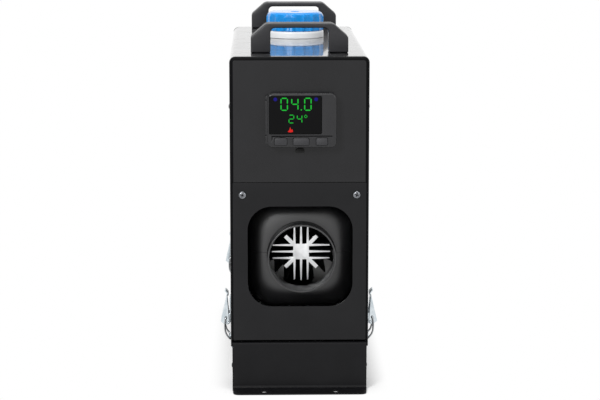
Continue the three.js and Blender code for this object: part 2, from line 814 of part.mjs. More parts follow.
function exchangerFins() {
  return Array.from({ length: fin.count }, (_, i) => {
    const plate = box(
      [exchanger.outer - 1, fin.front, -fin.thickness / 2],
      [heaterRoom - fin.gap, fin.rear, fin.thickness / 2],
    );
    return plate.rotate([0, (360 * (i + 0.5)) / fin.count, 0]);
  });
}

function heatExchanger() {
  const { outer, bore, front, rear, endWall } = exchanger;
  const body = turned('y', [[0, front], [outer, front], [outer, rear], [0, rear]], fin.count);
  const seat = casingFloor + clearance;
  const exhaustAt = [0, exhaust.y, 0];
  const boss = rod('z', exhaust.boss, seat, -bore - 1, exhaustAt, 12);
  const plugBoss = rod('z', glow.boss, bore + 1, glowSeat, [0, glow.y, 0], 12);
  return cut(
    join(body, starRibs(), ...exchangerFins(), boss, plugBoss),
    rod('y', bore, front + endWall, rear + 1, [0, 0, 0], fin.count),
    rod('z', exhaust.bore, seat - 1, -bore + 2, exhaustAt, 12),
    rod('z', glow.stem + clearance, bore - 2, glowSeat + 1, [0, glow.y, 0], 12),
  );
}

function glowPlug() {
  const { stem, head, headHeight, y } = glow;
  const tip = burner.outer + 1;
  return join(
    rod('z', stem, tip, glowSeat + headHeight / 2, [0, y, 0], 12),
    rod('z', head, glowSeat + clearance, glowSeat + headHeight, [0, y, 0], 6),
  );
}

function burnerChamber() {
  const { outer, bore, front, flangeGap, flangeThickness, eye } = burner;
  const flange = heaterRoom - flangeGap;
  const seat = exchanger.rear + clearance;
  const profile = [
    [bore, front],
    [outer, front],
    [outer, seat],
    [flange, seat],
    [flange, seat + flangeThickness],
    [eye, seat + flangeThickness],
    [eye, seat],
    [bore, seat],
  ];
  const inletAt = [fuelInlet.x, fuelInlet.y, 0];
  const nipple = rod('z', fuelInlet.radius, flange - fuelInlet.root, inletTop, inletAt, 8);
  const airHoles = Array.from({ length: burnerAir.rows }, (_, i) => {
    const hole = rod('z', burnerAir.radius, -outer - 1, outer + 1, [0, front + burnerAir.inset, 0], 6);
    return hole.rotate([0, (180 * i) / burnerAir.rows, 0]);
  });
  return join(cut(turned('y', profile), ...airHoles), nipple);
}

const blowerFront = exchanger.rear + 2 * clearance + burner.flangeThickness;
const blowerRear = blowerFront + blower.length;
const motorFront = blowerRear + clearance;
const motorRear = motorFront + motor.length;

function blowerHousing() {
  const { wall, eye } = blower;
  const outer = blowerOuter;
  const profile = [
    [eye, blowerFront],
    [outer, blowerFront],
    [outer, blowerRear],
    [shaft.radius + 2, blowerRear],
    [shaft.radius + 2, blowerRear - wall],
    [outer - wall, blowerRear - wall],
    [outer - wall, blowerFront + wall],
    [eye, blowerFront + wall],
  ];
  const seat = casingFloor + clearance;
  const at = [0, intake.y, 0];
  const boss = rod('z', intake.outer + 3, seat, -outer + 3, at);
  const stub = rod('z', intake.outer, pipeEnd - ductHeight, seat + 1, at);
  return cut(
    join(turned('y', profile), boss, stub),
    rod('z', intake.bore, pipeEnd - ductHeight - 1, -outer + wall + 4, at),
  );
}

function fanMotor() {
  const bore = shaft.radius + clearance;
  return turned('y', [
    [bore, motorFront],
    [motor.radius, motorFront],
    [motor.radius, motorRear - 2],
    [motor.radius - 2, motorRear],
    [motor.endBoss, motorRear],
    [motor.endBoss, motorRear + motor.bossLength],
    [bore, motorRear + motor.bossLength],
  ]);
}

function controlUnit() {
  const bottom = motor.radius + clearance;
  const { width, height, corner, margin, plug } = controlBox;
  const middle = (motorFront + motorRear) / 2;
  const outline = centredRectangle(width, motor.length - 2 * margin, corner, 0, middle);
  const [plugWidth, plugLength, plugHeight] = plug;
  const plugFront = motorFront + 3 * margin;
  return join(
    prism('z', outline, bottom, bottom + height, { curve: 1 }),
    box(
      [-plugWidth / 2, plugFront, bottom + height - 1],
      [plugWidth / 2, plugFront + plugLength, bottom + height - 1 + plugHeight],
    ),
  );
}

function fanHub(radius, from, to) {
  return sleeve('y', radius, shaft.radius + clearance, from, to, [0, 0, 0], 12);
}

/** A fan cut to its outer radius and bored for the shaft. */
function trimmedFan(body, radius, front, rear) {
  const envelope = rod('y', radius, front, rear);
  const bore = rod('y', shaft.radius + clearance, front - 1, rear + 1, [0, 0, 0], 12);
  return cut(body.intersect(envelope), bore);
}

function burnerFanBody() {
  const { gap, front, length, blades, disc, blade, hub } = burnerFan;
  const radius = blowerOuter - blower.wall - gap;
  const rear = front + length;
  const plate = sleeve('y', radius, shaft.radius + clearance, rear - disc, rear);
  const vanes = Array.from({ length: blades }, (_, i) => {
    const vane = box([hub - 1, front, -blade / 2], [radius - 1, rear - disc / 2, blade / 2]);
    const leaning = vane.rotate([0, burnerVane.lean, 0]).translate([burnerVane.shift, 0, 0]);
    return leaning.rotate([0, (360 * i) / blades, 0]);
  });
  return trimmedFan(join(fanHub(hub, front, rear), plate, ...vanes), radius, front, rear);
}

function airFanBody() {
  const { gap, hub, front, length, blades, blade, pitch, root, washout } = airFan;
  const radius = heaterRoom - gap;
  const [middle, rear] = [front + length / 2, front + length];
  const wings = Array.from({ length: blades }, (_, i) => {
    const chord = length / Math.cos(pitch);
    const wing = new THREE.BoxGeometry(radius - hub + root, chord, blade, 2, 1, 1);
    wing.translate((radius + hub - root) / 2, 0, 0);
    const places = wing.attributes.position;
    for (let k = 0; k < places.count; k += 1) {
      const reach = places.getX(k);
      const twist = pitch * (1 + washout * (0.5 - (reach - hub) / (radius - hub)));
      const [y, z] = [places.getY(k), places.getZ(k)];
      places.setY(k, y * Math.cos(twist) - z * Math.sin(twist));
      places.setZ(k, y * Math.sin(twist) + z * Math.cos(twist));
    }
    wing.translate(0, middle, 0);
    return solid(wing).rotate([0, (360 * i) / blades, 0]);
  });
  return trimmedFan(join(fanHub(hub, front, rear), ...wings), radius, front, rear);
}

function exhaustPipe() {
  return sleeve('z', exhaust.outer, exhaust.bore, pipeEnd - ductHeight, casingFloor, [0, exhaust.y, 0]);
}

function heaterStand() {
  const section = hatSection({ ...stand, height: standTop - standBase });
  const hat = prism('y', section, stand.front, stand.rear, { curve: 1 });
  return cut(
    hat.translate([ductX, 0, standBase]),
    pipeHole(exhaust, deckTop, ductHeight),
    pipeHole(intake, deckTop, ductHeight),
  );
}

function mountGasket() {
  const outline = onStand(gasket.width, gasket.radius, ductX);
  return cut(
    prism('z', outline, gasketTop - gasket.thickness, gasketTop, { curve: 1 }),
    pipeHole(exhaust, deckTop, ductHeight),
    pipeHole(intake, deckTop, ductHeight),
  );
}

// ---------------------------------------------------------------- tank and cap

function tankShelf() {
  const half = innerX - clearance;
  const low = shelfHeight - shelfRim;
  const outline = (inset) => {
    const [width, height, radius] = [2 * (half - inset), 2 * (shelfRim - inset), shelfBend - inset];
    return centredRectangle(width, height, radius, 0, low);
  };
  const sheetMetal = cut(
    prism('y', outline(0), tankFront - 2, tankRear + 2),
    prism('y', outline(shelfSheet), tankFront - 3, tankRear + 3),
  );
  return cut(sheetMetal, box([-wallX, -endY, 0], [wallX, endY, low]));
}

function tankBlock(inset) {
  const { corner, edge } = tank;
  const outline = centredRectangle(
    2 * (tankX - inset),
    tankRear - tankFront - 2 * inset,
    corner - inset,
    0,
    (tankFront + tankRear) / 2,
  );
  return prism('z', outline, tankBottom + inset, tankTop - inset, {
    edge: edge - inset,
    steps: inset > 0 ? 1 : 2,
    curve: 1,
  });
}

function fuelTank() {
  const shoulder = tankTop - tank.wall;
  const outletAt = [filter.x, 0, tankOutletZ];
  const outletStub = rod('y', spigot.radius, fuelBay + hose.radius, tankFront + 2, outletAt, 12);
  return cut(
    join(tankBlock(0), rod('z', neck.outer, shoulder, neckTop, neckAt, neckSides), outletStub),
    tankBlock(tank.wall),
    rod('z', neck.outer - neck.wall, shoulder - 2, neckTop + 1, neckAt, neckSides),
  );
}

function neckCollar() {
  const base = caseTop + clearance;
  const top = base + collar.height;
  const { radius, edge } = collar;
  const bore = neck.outer + clearance;
  return turned(
    'z',
    [
      [bore, base],
      [radius, base],
      [radius, top - edge],
      [radius - 0.3 * edge, top - 0.3 * edge],
      [radius - edge, top],
      [bore, top],
    ],
    neckSides,
    neckAt,
  );
}

const capBase = caseTop + collar.height + 2 * clearance;
const capRoof = capTop - cap.roof;

function fuelCap() {
  const { radius, chamfer, grips, vent, ventDepth, flute: fluteRadius, fluteDepth } = cap;
  const bore = neck.outer + capBoreGap;
  const shell = turned(
    'z',
    [
      [0, capBase],
      [radius, capBase],
      [radius, capTop - chamfer],
      [radius - chamfer, capTop],
      [0, capTop],
    ],
    2 * grips,
  );
  const flutes = Array.from({ length: grips }, (_, i) => {
    const at = [radius + fluteRadius - fluteDepth, 0, 0];
    const flute = rod('z', fluteRadius, capBase - 1, capTop - chamfer - 1, at, 6);
    return flute.rotate([0, 0, (360 * i) / grips]);
  });
  const body = cut(
    shell,
    ...flutes,
    rod('z', bore, capBase - 1, capRoof, [0, 0, 0], neckSides),
    rod('z', vent, capTop - ventDepth, capTop + 1),
  );
  return body.translate(neckAt);
}

function capSeal() {
  const base = neckTop + clearance;
  return sleeve('z', neck.outer, neck.outer - seal.width, base, base + seal.thickness, neckAt, 20);
}

// ---------------------------------------------------------------- fuel train

function fuelFilter() {
  const { x, radius, bottom, top } = filter;
  const profile = [
    [0, bottom],
    [spigot.radius, bottom],
    [spigot.radius, bottom + spigot.length],
    [radius, bottom + spigot.length + 4],
    [radius, top - spigot.length - 4],
    [spigot.radius, top - spigot.length],
    [spigot.radius, top],
    [0, top],
  ];
  return turned('z', profile, 12, [x, fuelBay, 0]);
}

function fuelPump() {
  const { x, radius, bottom, top, neckRadius, neckLength } = pump;
  const profile = [
    [0, bottom - spigot.length],
    [spigot.radius, bottom - spigot.length],
    [spigot.radius, bottom],
    [neckRadius, bottom],
    [neckRadius, bottom + neckLength],
    [radius, bottom + neckLength + 2],
    [radius, top - neckLength - 2],
    [neckRadius, top - neckLength],
    [neckRadius, top],
    [spigot.radius, top],
    [spigot.radius, top + spigot.length],
    [0, top + spigot.length],
  ];
  return turned('z', profile, 12, [x, fuelBay, 0]);
}

function pumpClip() {
  const { thickness, bottom, height } = clip;
  const bore = pump.radius + clearance;
  const ring = rod('z', bore + thickness, bottom, bottom + height, [pump.x, fuelBay, 0]);
  const seat = innerX - clearance;
  const strap = box(
    [pump.x, fuelBay + bore - 2, bottom],
    [seat, fuelBay + bore + thickness, bottom + height],
  );
  const pad = box(
    [seat - thickness, fuelBay - clip.pad, bottom],
    [seat, fuelBay + bore + thickness, bottom + height],
  );
  const bored = rod('z', bore, bottom - 1, bottom + height + 1, [pump.x, fuelBay, 0]);
  return cut(join(ring, strap, pad), bored);
}

function suctionHose() {
  const end = fuelBay + hose.radius - clearance;
  return sweep(
    [
      [filter.x, end, tankOutletZ],
      [filter.x, end - 3, tankOutletZ],
      [filter.x, fuelBay - 4, tankOutletZ - 3],
      [filter.x, fuelBay - 1, tankOutletZ - 12],
      [filter.x, fuelBay, filter.top + 4],
      [filter.x, fuelBay, filter.top + clearance],
    ],
    hose.radius,
    hose.sides,
    8,
  );
}

function pumpHose() {
  const { x } = filter;
  const start = filter.bottom - clearance;
  const low = filter.bottom - hose.slack;
  const end = pump.bottom - spigot.length - clearance;
  return sweep(
    [
      [x, fuelBay, start],
      [x, fuelBay, start - 8],
      [x + 6, fuelBay, low + 8],
      [x + 20, fuelBay, low],
      [pump.x - 20, fuelBay, low - 4],
      [pump.x - 5, fuelBay, low],
      [pump.x, fuelBay, end - 6],
      [pump.x, fuelBay, end],
    ],
    hose.radius,
    hose.sides,
    16,
  );
}

function deliveryHose() {
  const top = pump.top + spigot.length + clearance;
  const x = pump.x - hose.turn;
  const y = fuelBay - spigot.length;
  const run = ductHeight + casingTop + hose.above;
  const inletX = ductX + fuelInlet.x;
  return sweep(
    [
      [pump.x, fuelBay, top],
      [pump.x, fuelBay, top + 6],
      [pump.x - 6, fuelBay - 1, top + 15],
      [x + 6, y, top + 15],
      [x, y, top + 4],
      [x, y, pump.bottom + 20],
      [x, y, shelfHeight + 20],
      [x, y + 1, run + 10],
      [x, y + 7, run + 1],
      [x, y + 22, run],
      [inletX, -100, run],
      [inletX, -30, run],
      [inletX, fuelInlet.y - 14, run],
      [inletX, fuelInlet.y - 3, run - 4],
      [inletX, fuelInlet.y, run - 14],
      [inletX, fuelInlet.y, ductHeight + inletTop + clearance],
    ],
    hose.radius,
    hose.sides,
    30,
  );
}

// ---------------------------------------------------------------- draw latches

// A latch is drawn for the +X side: u is the distance out from the case wall, z the height.
const eyeletRadius = 3;
const earOuter = latch.width / 2;
const cheekInner = earOuter + clearance;
const cheekOuter = cheekInner + lever.cheek;
const armY = cheekOuter + clearance + bail.wire;

function latchBase() {
  const { sheet: thick, pivotOut, pivotHeight, pin, rivetHead, earFoot } = latch;
  const earBottom = latchPlate.bottom + earFoot;
  const plate = box([clearance, -earOuter, latchPlate.bottom], [clearance + thick, earOuter, latchPlate.top]);
  const ear = new THREE.Shape();
  ear.moveTo(clearance, earBottom);
  ear.lineTo(clearance, pivotHeight);
  ear.absarc(pivotOut, pivotHeight, eyeletRadius, 2 * right, full);
  ear.lineTo(clearance + thick + 1, earBottom);
  ear.closePath();
  const ears = bothWays.map((side) => {
    return prism('y', ear, ...ordered(side * (earOuter - thick), side * earOuter), { curve: 1 });
  });
  const rivetEnd = cheekOuter + rivetHead;
  const rivet = rod('y', pin, -rivetEnd, rivetEnd, [pivotOut, 0, pivotHeight], 6);
  return join(plate, ...ears, rivet);
}

function latchLever() {
  const { tip, widest, cheek, eye, back, spine, lip: lipHeight } = lever;
  const { pivotOut, pivotHeight, pin } = latch;
  const [backU, spineU] = [pivotOut - back, pivotOut + spine];
  const [heelU, heelZ] = [pivotOut + leverHeel.out, pivotHeight - leverHeel.drop];
  const shoulderZ = pivotHeight + leverHeel.shoulder;
  const neckZ = tip - lipHeight;
  const profile = new THREE.Shape();
  profile.moveTo(backU, neckZ);
  profile.absarc(pivotOut, pivotHeight, eye, Math.acos(-back / eye), 3 * right);
  profile.lineTo(heelU, heelZ);
  profile.lineTo(widest, shoulderZ);
  profile.lineTo(spineU, neckZ);
  profile.closePath();
  const outside = prism('y', profile, -cheekOuter, cheekOuter, { curve: 1 });
  const [farU, below] = [pivotOut - widest, pivotHeight - widest];
  const web = polygon([
    [heelU - cheek, below],
    [heelU - cheek, heelZ + cheek],
    [widest - 1.6 * cheek, shoulderZ],
    [spineU - 1.1 * cheek, neckZ],
    [farU, tip + lipHeight],
    [farU, below],
  ]);
  const hollow = prism('y', web, -cheekInner, cheekInner);
  const lip = polygon([
    [pivotOut - 0.9, neckZ - 1],
    [spineU, neckZ - 1.5],
    [spineU, neckZ + 1],
    [pivotOut + 3.4, tip],
    [pivotOut + 2.4, tip + 0.6],
    [pivotOut - 0.6, tip - 2.4],
  ]);
  return cut(
    join(cut(outside, hollow), prism('y', lip, -cheekInner + 2, cheekInner - 2)),
    rod('y', pin + bail.holeGap, -armY, armY, [pivotOut, 0, pivotHeight], 6),
    rod('y', bail.wire + bail.holeGap, -armY, armY, [bailPivot.out, 0, bailPivot.height], 6),
  );
}

function latchBail() {
  const { wire, barOut, barHeight } = bail;
  const { out, height } = bailPivot;
  const arm = (side) => [
    [out, side * (cheekInner - 1), height],
    [out, side * (cheekOuter - 0.5), height],
    [out + 0.15, side * (armY - 0.15), height - 0.6],
    [out + 0.6, side * armY, height - 3],
    [out + 1.2, side * armY, height - 10],
    [out - 0.2, side * armY, height - 18],
    [barOut + 0.6, side * (armY - 0.3), barHeight + 1],
    [barOut, side * (armY - 2), barHeight],
  ];
  const points = [...arm(1), [barOut, 0, barHeight], ...arm(-1).reverse()];
  return sweep(points, wire, 5, 24);
}

function latchCatch() {
  const face = trayX - wallX + clearance;
  const plateFront = face + tongue.thickness;
  const seat = bail.barHeight + bail.wire + clearance;
  const under = (u) => seat + 0.35 - (u - bail.barOut) * tongue.slope;
  const lip = polygon([
    [face, under(face)],
    [tongue.reach, under(tongue.reach)],
    [tongue.reach, under(tongue.reach) + tongue.thickness],
    [face, under(face) + tongue.thickness],
  ]);
  const plate = [[face, -tongue.width / 2, catchPlateBottom], [plateFront, tongue.width / 2, seat + 1.2]];
  return join(
    box(...plate),
    prism('y', lip, -tongue.width / 2, tongue.width / 2),
  );
}

function addLatch(side, end) {
  const group = addGroup(heater, side * wallX, end * latchY, 0);
  if (side < 0) group.rotation.z = Math.PI;
  const place = `${end < 0 ? 'front' : 'rear'}_${side < 0 ? 'left' : 'right'}`;
  addPiece(group, `latch_base_${place}`, latchBase(), finishes.zinc());
  addPiece(group, `latch_lever_${place}`, latchLever(), finishes.zinc());
  addPiece(group, `latch_bail_${place}`, latchBail(), finishes.steel());
  addPiece(group, `latch_catch_${place}`, latchCatch(), finishes.zinc());
}

// ---------------------------------------------------------------- assembly

addPiece(heater, 'base_tray', baseTray(), finishes.trayCoat());
addPiece(heater, 'case_cover', caseCover(), finishes.powderCoat());
addPiece(heater, 'front_panel', frontPanel(), finishes.powderCoat());
addPiece(heater, 'outlet_plate', outletPlate(), finishes.powderCoat());
addPiece(heater, 'rear_panel', rearPanel(), finishes.powderCoat());
bothWays.forEach((side) => {
  const name = side < 0 ? 'plate_screw_left' : 'plate_screw_right';
  const screw = addPiece(heater, name, plateScrewBody(), finishes.zinc());
  screw.position.set(side * plateScrewX, -endY - clearance, plateScrew.z);
});

const duct = addGroup(heater, ductX, 0, ductHeight);
const halves = casingHalves();
addPiece(duct, 'heater_lower_shell', halves.lower, finishes.casingPlastic());
addPiece(duct, 'heater_upper_shell', halves.upper, finishes.casingPlastic());
addPiece(duct, 'outlet_ring', outletRing(), finishes.casingPlastic());
addPiece(duct, 'heat_exchanger', heatExchanger(), finishes.castAluminium());
addPiece(duct, 'burner_chamber', burnerChamber(), finishes.stainless());
addPiece(duct, 'blower_housing', blowerHousing(), finishes.castAluminium());
addPiece(duct, 'glow_plug', glowPlug(), finishes.steel());
addPiece(duct, 'fan_motor', fanMotor(), finishes.steel());
addPiece(duct, 'control_unit', controlUnit(), finishes.blackPlastic());
addPiece(duct, 'rotor_shaft', rod('y', shaft.radius, shaft.front, shaft.rear), finishes.steel());
addPiece(duct, 'burner_fan', burnerFanBody(), finishes.castAluminium());
addPiece(duct, 'air_fan', airFanBody(), finishes.blackPlastic());
addPiece(duct, 'exhaust_pipe', exhaustPipe(), finishes.stainless());
addPiece(duct, 'intake_grille', intakeGrille(), finishes.blackPlastic());
addPiece(heater, 'heater_stand', heaterStand(), finishes.steel());
addPiece(heater, 'mount_gasket', mountGasket(), finishes.rubber());
const glandGroup = addGroup(heater, gland.x, 0, gland.z);
addPiece(glandGroup, 'cable_gland', cableGland(), finishes.blackPlastic());

addPiece(heater, 'tank_shelf', tankShelf(), finishes.steel());
addPiece(heater, 'fuel_tank', fuelTank(), finishes.naturalTank());
addPiece(heater, 'neck_collar', neckCollar(), finishes.whitePlastic());
addPiece(heater, 'fuel_cap', fuelCap(), finishes.bluePlastic());
addPiece(heater, 'cap_seal', capSeal(), finishes.rubber());

addPiece(heater, 'fuel_filter', fuelFilter(), finishes.naturalTank());
addPiece(heater, 'fuel_pump', fuelPump(), finishes.steel());
addPiece(heater, 'pump_clip', pumpClip(), finishes.rubber());
addPiece(heater, 'suction_hose', suctionHose(), finishes.darkLine());
addPiece(heater, 'pump_hose', pumpHose(), finishes.darkLine());
addPiece(heater, 'delivery_hose', deliveryHose(), finishes.darkLine());

const handlePlaces = { handle_front: -endY + handleInset.front, handle_rear: endY - handleInset.rear };
Object.entries(handlePlaces).forEach(([name, y]) => {
  addPiece(heater, name, handleBody(), finishes.handlePlastic()).position.set(handle.x, y, caseTop);
});

const panelBox = addGroup(heater, controller.x, -endY, controller.z);
addPiece(panelBox, 'controller_case', controllerCase(), finishes.blackPlastic());
addPiece(panelBox, 'controller_bezel', controllerBezel(), finishes.blackPlastic());
addPiece(panelBox, 'display_module', displayModule(), finishes.glass());
Object.entries(buttonSpans).forEach(([place, span]) => {
  addPiece(panelBox, `button_${place}`, buttonBody(span), finishes.blackPlastic());
});
const grommetMesh = addPiece(heater, 'cable_grommet', grommetBody(), finishes.rubber());
grommetMesh.position.set(grommet.x, -endY, grommet.z);

bothWays.forEach((side) => bothWays.forEach((end) => addLatch(side, end)));

export default heater;
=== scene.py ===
"""Looks of the diesel air heater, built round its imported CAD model.

Every piece is drawn in millimetres in the CAD frame: the outlet faces -Y, +Z is up, and the floor is
at 0. It is brought to metres as it is finished, so each object stays at the origin.
"""

import math

import bmesh
import bpy
from mathutils import Matrix, Vector


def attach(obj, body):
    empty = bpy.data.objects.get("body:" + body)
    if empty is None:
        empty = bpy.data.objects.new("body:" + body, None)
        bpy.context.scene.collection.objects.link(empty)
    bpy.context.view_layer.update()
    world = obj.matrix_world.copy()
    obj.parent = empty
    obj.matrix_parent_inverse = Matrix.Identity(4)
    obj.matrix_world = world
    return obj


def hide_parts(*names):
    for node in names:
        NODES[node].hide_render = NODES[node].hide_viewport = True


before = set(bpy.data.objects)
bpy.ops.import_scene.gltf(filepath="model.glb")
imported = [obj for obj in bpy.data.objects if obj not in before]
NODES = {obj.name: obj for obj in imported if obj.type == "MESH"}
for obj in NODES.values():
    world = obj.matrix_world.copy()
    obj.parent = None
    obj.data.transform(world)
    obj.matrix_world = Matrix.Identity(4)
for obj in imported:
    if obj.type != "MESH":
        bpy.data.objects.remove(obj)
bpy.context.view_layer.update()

MM = 0.001
FULL = 2 * math.pi
RIGHT = math.pi / 2

# ------------------------------------------------------------------ sizes, mm

GAP = 0.3
SHEET = 1.2
NEAR = 0.01  # two places this close count as one
# The case: half its width and depth, its top, the foot of its sides and of its end faces.
WALL_X, END_Y, TOP = 75.0, 200.0, 365.0
SKIRT, PANEL_FOOT = 48.0, 55.4
SEAM_Y = 188.0
SHOULDER, PAN_SHOULDER, PAN_RIM = 7.0, 6.5, 5.0
LIP = {"inside": 6.0, "outside": 8.0}
PLATE = {"half": 72.0, "top": 229.4, "sheet": 1.5, "corner": 1.0}
OPENING = {"width": 113.5, "height": 110.2, "radius": 26.0, "x": 0.65, "z": 148.1, "margin": 8.0}
SCREW = {"x": 61.5, "z": 216.0, "head": 4.25, "height": 2.2, "flat": 2.7, "hole": 2.1}
SHANK = {"radius": 1.8, "length": 6.0}
CROSS = {"arm": 2.1, "half": 0.5, "depth": 1.3, "taper": 0.45, "turn": 0.35}
RIVET = {"radius": 2.7, "height": 1.1, "shank": 1.6, "length": 4.0}
PANEL_RIVET, TRAY_RIVET = {"in": 5.0, "z": 310.0}, {"in": 9.0, "z": 25.0}
TRAY = {"x": 73.4, "end": 199.0, "deck": 53.0, "sheet": 1.5, "bend": 3.0}
FLANGE = {"reach": 24.0, "half": 72.0, "corner": 6.0, "hole": 3.5, "hole_x": 39.0, "hole_y": 15.0}
PIPE_WAY = {"half": 75.0, "foot": 10.0, "top": 33.0, "corner": 12.0, "toe": 3.0}
# The warm-air duct's axis, and [radius, y] of the two pipes' holes below it.
DUCT_X, DUCT_Z = 2.6, 145.0
PIPE_HOLES = ((13.0, -20.0), (12.0, 47.0))
CASING = {"half_x": 59.0, "half_z": 61.0, "corner": 30.0, "wall": 3.0, "split": 3.0}
CASING_ENDS = {"front": -176.0, "rear": 150.0, "dome": 21.0, "front_mouth": 37.9, "rear_mouth": 42.0}
PAD = {"width": 78.0, "depth": 128.0, "corner": 8.0, "y": 10.0, "thick": 5.5, "below": 4.0}
COLLAR = {"outer": 37.5, "bore": 35.5, "front": -196.5, "flange": 39.0, "back": -170.3}
GRILLE = {"outer": 46.0, "bore": 44.5, "flange": 52.0, "face": 202.0, "back": 199.0, "bar": 2.0}
GLAND = {"x": -50.0, "z": 262.0, "hole": 8.0}
HANDLE = {"half": 53.0, "height": 31.8, "leg": 21.4, "bar": 4.8, "depth": 26.0, "x": 1.0}
HANDLE_CUT = {"x": 16.7, "z": 14.6}
HANDLE_IN = {"front": 43.0, "rear": 28.0}  # of their front faces from the case's nearer ends
NECK_Y, NECK_BORE = 48.0, 24.3
NECK_RING = {"height": 8.2, "radius": 34.0, "edge": 2.6}
CAP = {"top": 395.3, "radius": 34.2, "flats": 18}
SCOOP = (0.0, 0.9, 1.4, 1.5, 1.5, 1.5, 1.4, 0.9)  # depth across one of the cap's flats
CONTROLLER = {"z": 298.45, "front": -215.0, "groove": -16.6, "groove_depth": 0.8}
LATCH_Y, NOTCH = 164.0, 17.0

BODY = "case"
SIDES = (("left", -1), ("right", 1))
ENDS = (("front", -1), ("rear", 1))

# ------------------------------------------------------------------ finishes


def linear(code):
    """An sRGB hex value as the linear colour that the shaders work in."""
    parts = [int(code[i : i + 2], 16) / 255 for i in (1, 3, 5)]
    return [c / 12.92 if c <= 0.04045 else ((c + 0.055) / 1.055) ** 2.4 for c in parts] + [1.0]


def add(tree, kind, links=None, **settings):
    """Adds a node: settings are its own, links are values or sockets for its inputs."""
    node = tree.nodes.new(kind)
    for name, value in settings.items():
        setattr(node, name, value)
    for name, value in (links or {}).items():
        socket = node.inputs[name]
        if isinstance(value, bpy.types.NodeSocket):
            tree.links.new(value, socket)
        else:
            socket.default_value = value
    return node


CLOUD_LOW, CLOUD_HIGH = 0.3, 0.7  # the part of the noise over which a finish drifts
ASLANT_FROM, ASLANT_TO = 0.60, 0.82  # how far a face turns away as its mirror sets in


def surface(name, light, dark, cloud, grain, relief, roughness, spread, **sockets):
    """A finish whose colour drifts between two tones over `cloud` mm.

    Its grain is `grain` mm across and stands `relief` mm high; roughness swings by `spread` with the
    same cloud. The other values go to the shader's own sockets.
    """
    look = bpy.data.materials.new(name)
    look.use_nodes = True
    tree = look.node_tree
    shader = tree.nodes["Principled BSDF"]
    place = add(tree, "ShaderNodeTexCoord").outputs["Object"]
    drift = add(tree, "ShaderNodeTexNoise", {"Vector": place, "Scale": 1 / (cloud * MM), "Detail": 3.0})
    tones = add(tree, "ShaderNodeValToRGB", {"Fac": drift.outputs["Fac"]})
    tones.color_ramp.elements[0].position = CLOUD_LOW
    tones.color_ramp.elements[1].position = CLOUD_HIGH
    tones.color_ramp.elements[0].color = linear(dark)
    tones.color_ramp.elements[1].color = linear(light)
    tree.links.new(tones.outputs["Color"], shader.inputs["Base Color"])
    swing = add(tree, "ShaderNodeMapRange", {
        "Value": drift.outputs["Fac"], "From Min": CLOUD_LOW, "From Max": CLOUD_HIGH,
        "To Min": roughness + spread, "To Max": roughness - spread,
    })
    tree.links.new(swing.outputs["Result"], shader.inputs["Roughness"])
    grit = add(tree, "ShaderNodeTexNoise", {"Vector": place, "Scale": 1 / (grain * MM), "Detail": 2.0})
    bump = add(tree, "ShaderNodeBump", {
        "Height": grit.outputs["Fac"], "Strength": 1.0, "Distance": relief * MM,
    })
    tree.links.new(bump.outputs["Normal"], shader.inputs["Normal"])
    for socket, value in sockets.items():
        shader.inputs[socket.replace("_", " ")].default_value = value
    return look


def glossier_aslant(look, coat, specular):
    """A gloss seen aslant mirrors more: coat and specular are each [square on, aslant]."""
    tree = look.node_tree
    shader = tree.nodes["Principled BSDF"]
    facing = add(tree, "ShaderNodeLayerWeight", {"Blend": 0.5}).outputs["Facing"]
    for socket, (square_on, aslant) in (("Coat Weight", coat), ("Specular IOR Level", specular)):
        rise = add(tree, "ShaderNodeMapRange", {
            "Value": facing, "From Min": ASLANT_FROM, "From Max": ASLANT_TO,
            "To Min": square_on, "To Max": aslant,
        })
        tree.links.new(rise.outputs["Result"], shader.inputs[socket])
    return look


def lamp_look(name, code, strength=1.0):
    """The lit part of a display: it glows in its own colour, over a black base."""
    look = bpy.data.materials.new(name)
    look.use_nodes = True
    shader = look.node_tree.nodes["Principled BSDF"]
    shader.inputs["Base Color"].default_value = linear("#050505")
    shader.inputs["Emission Color"].default_value = linear(code)
    shader.inputs["Emission Strength"].default_value = strength
    shader.inputs["Specular IOR Level"].default_value = 0.1
    return look


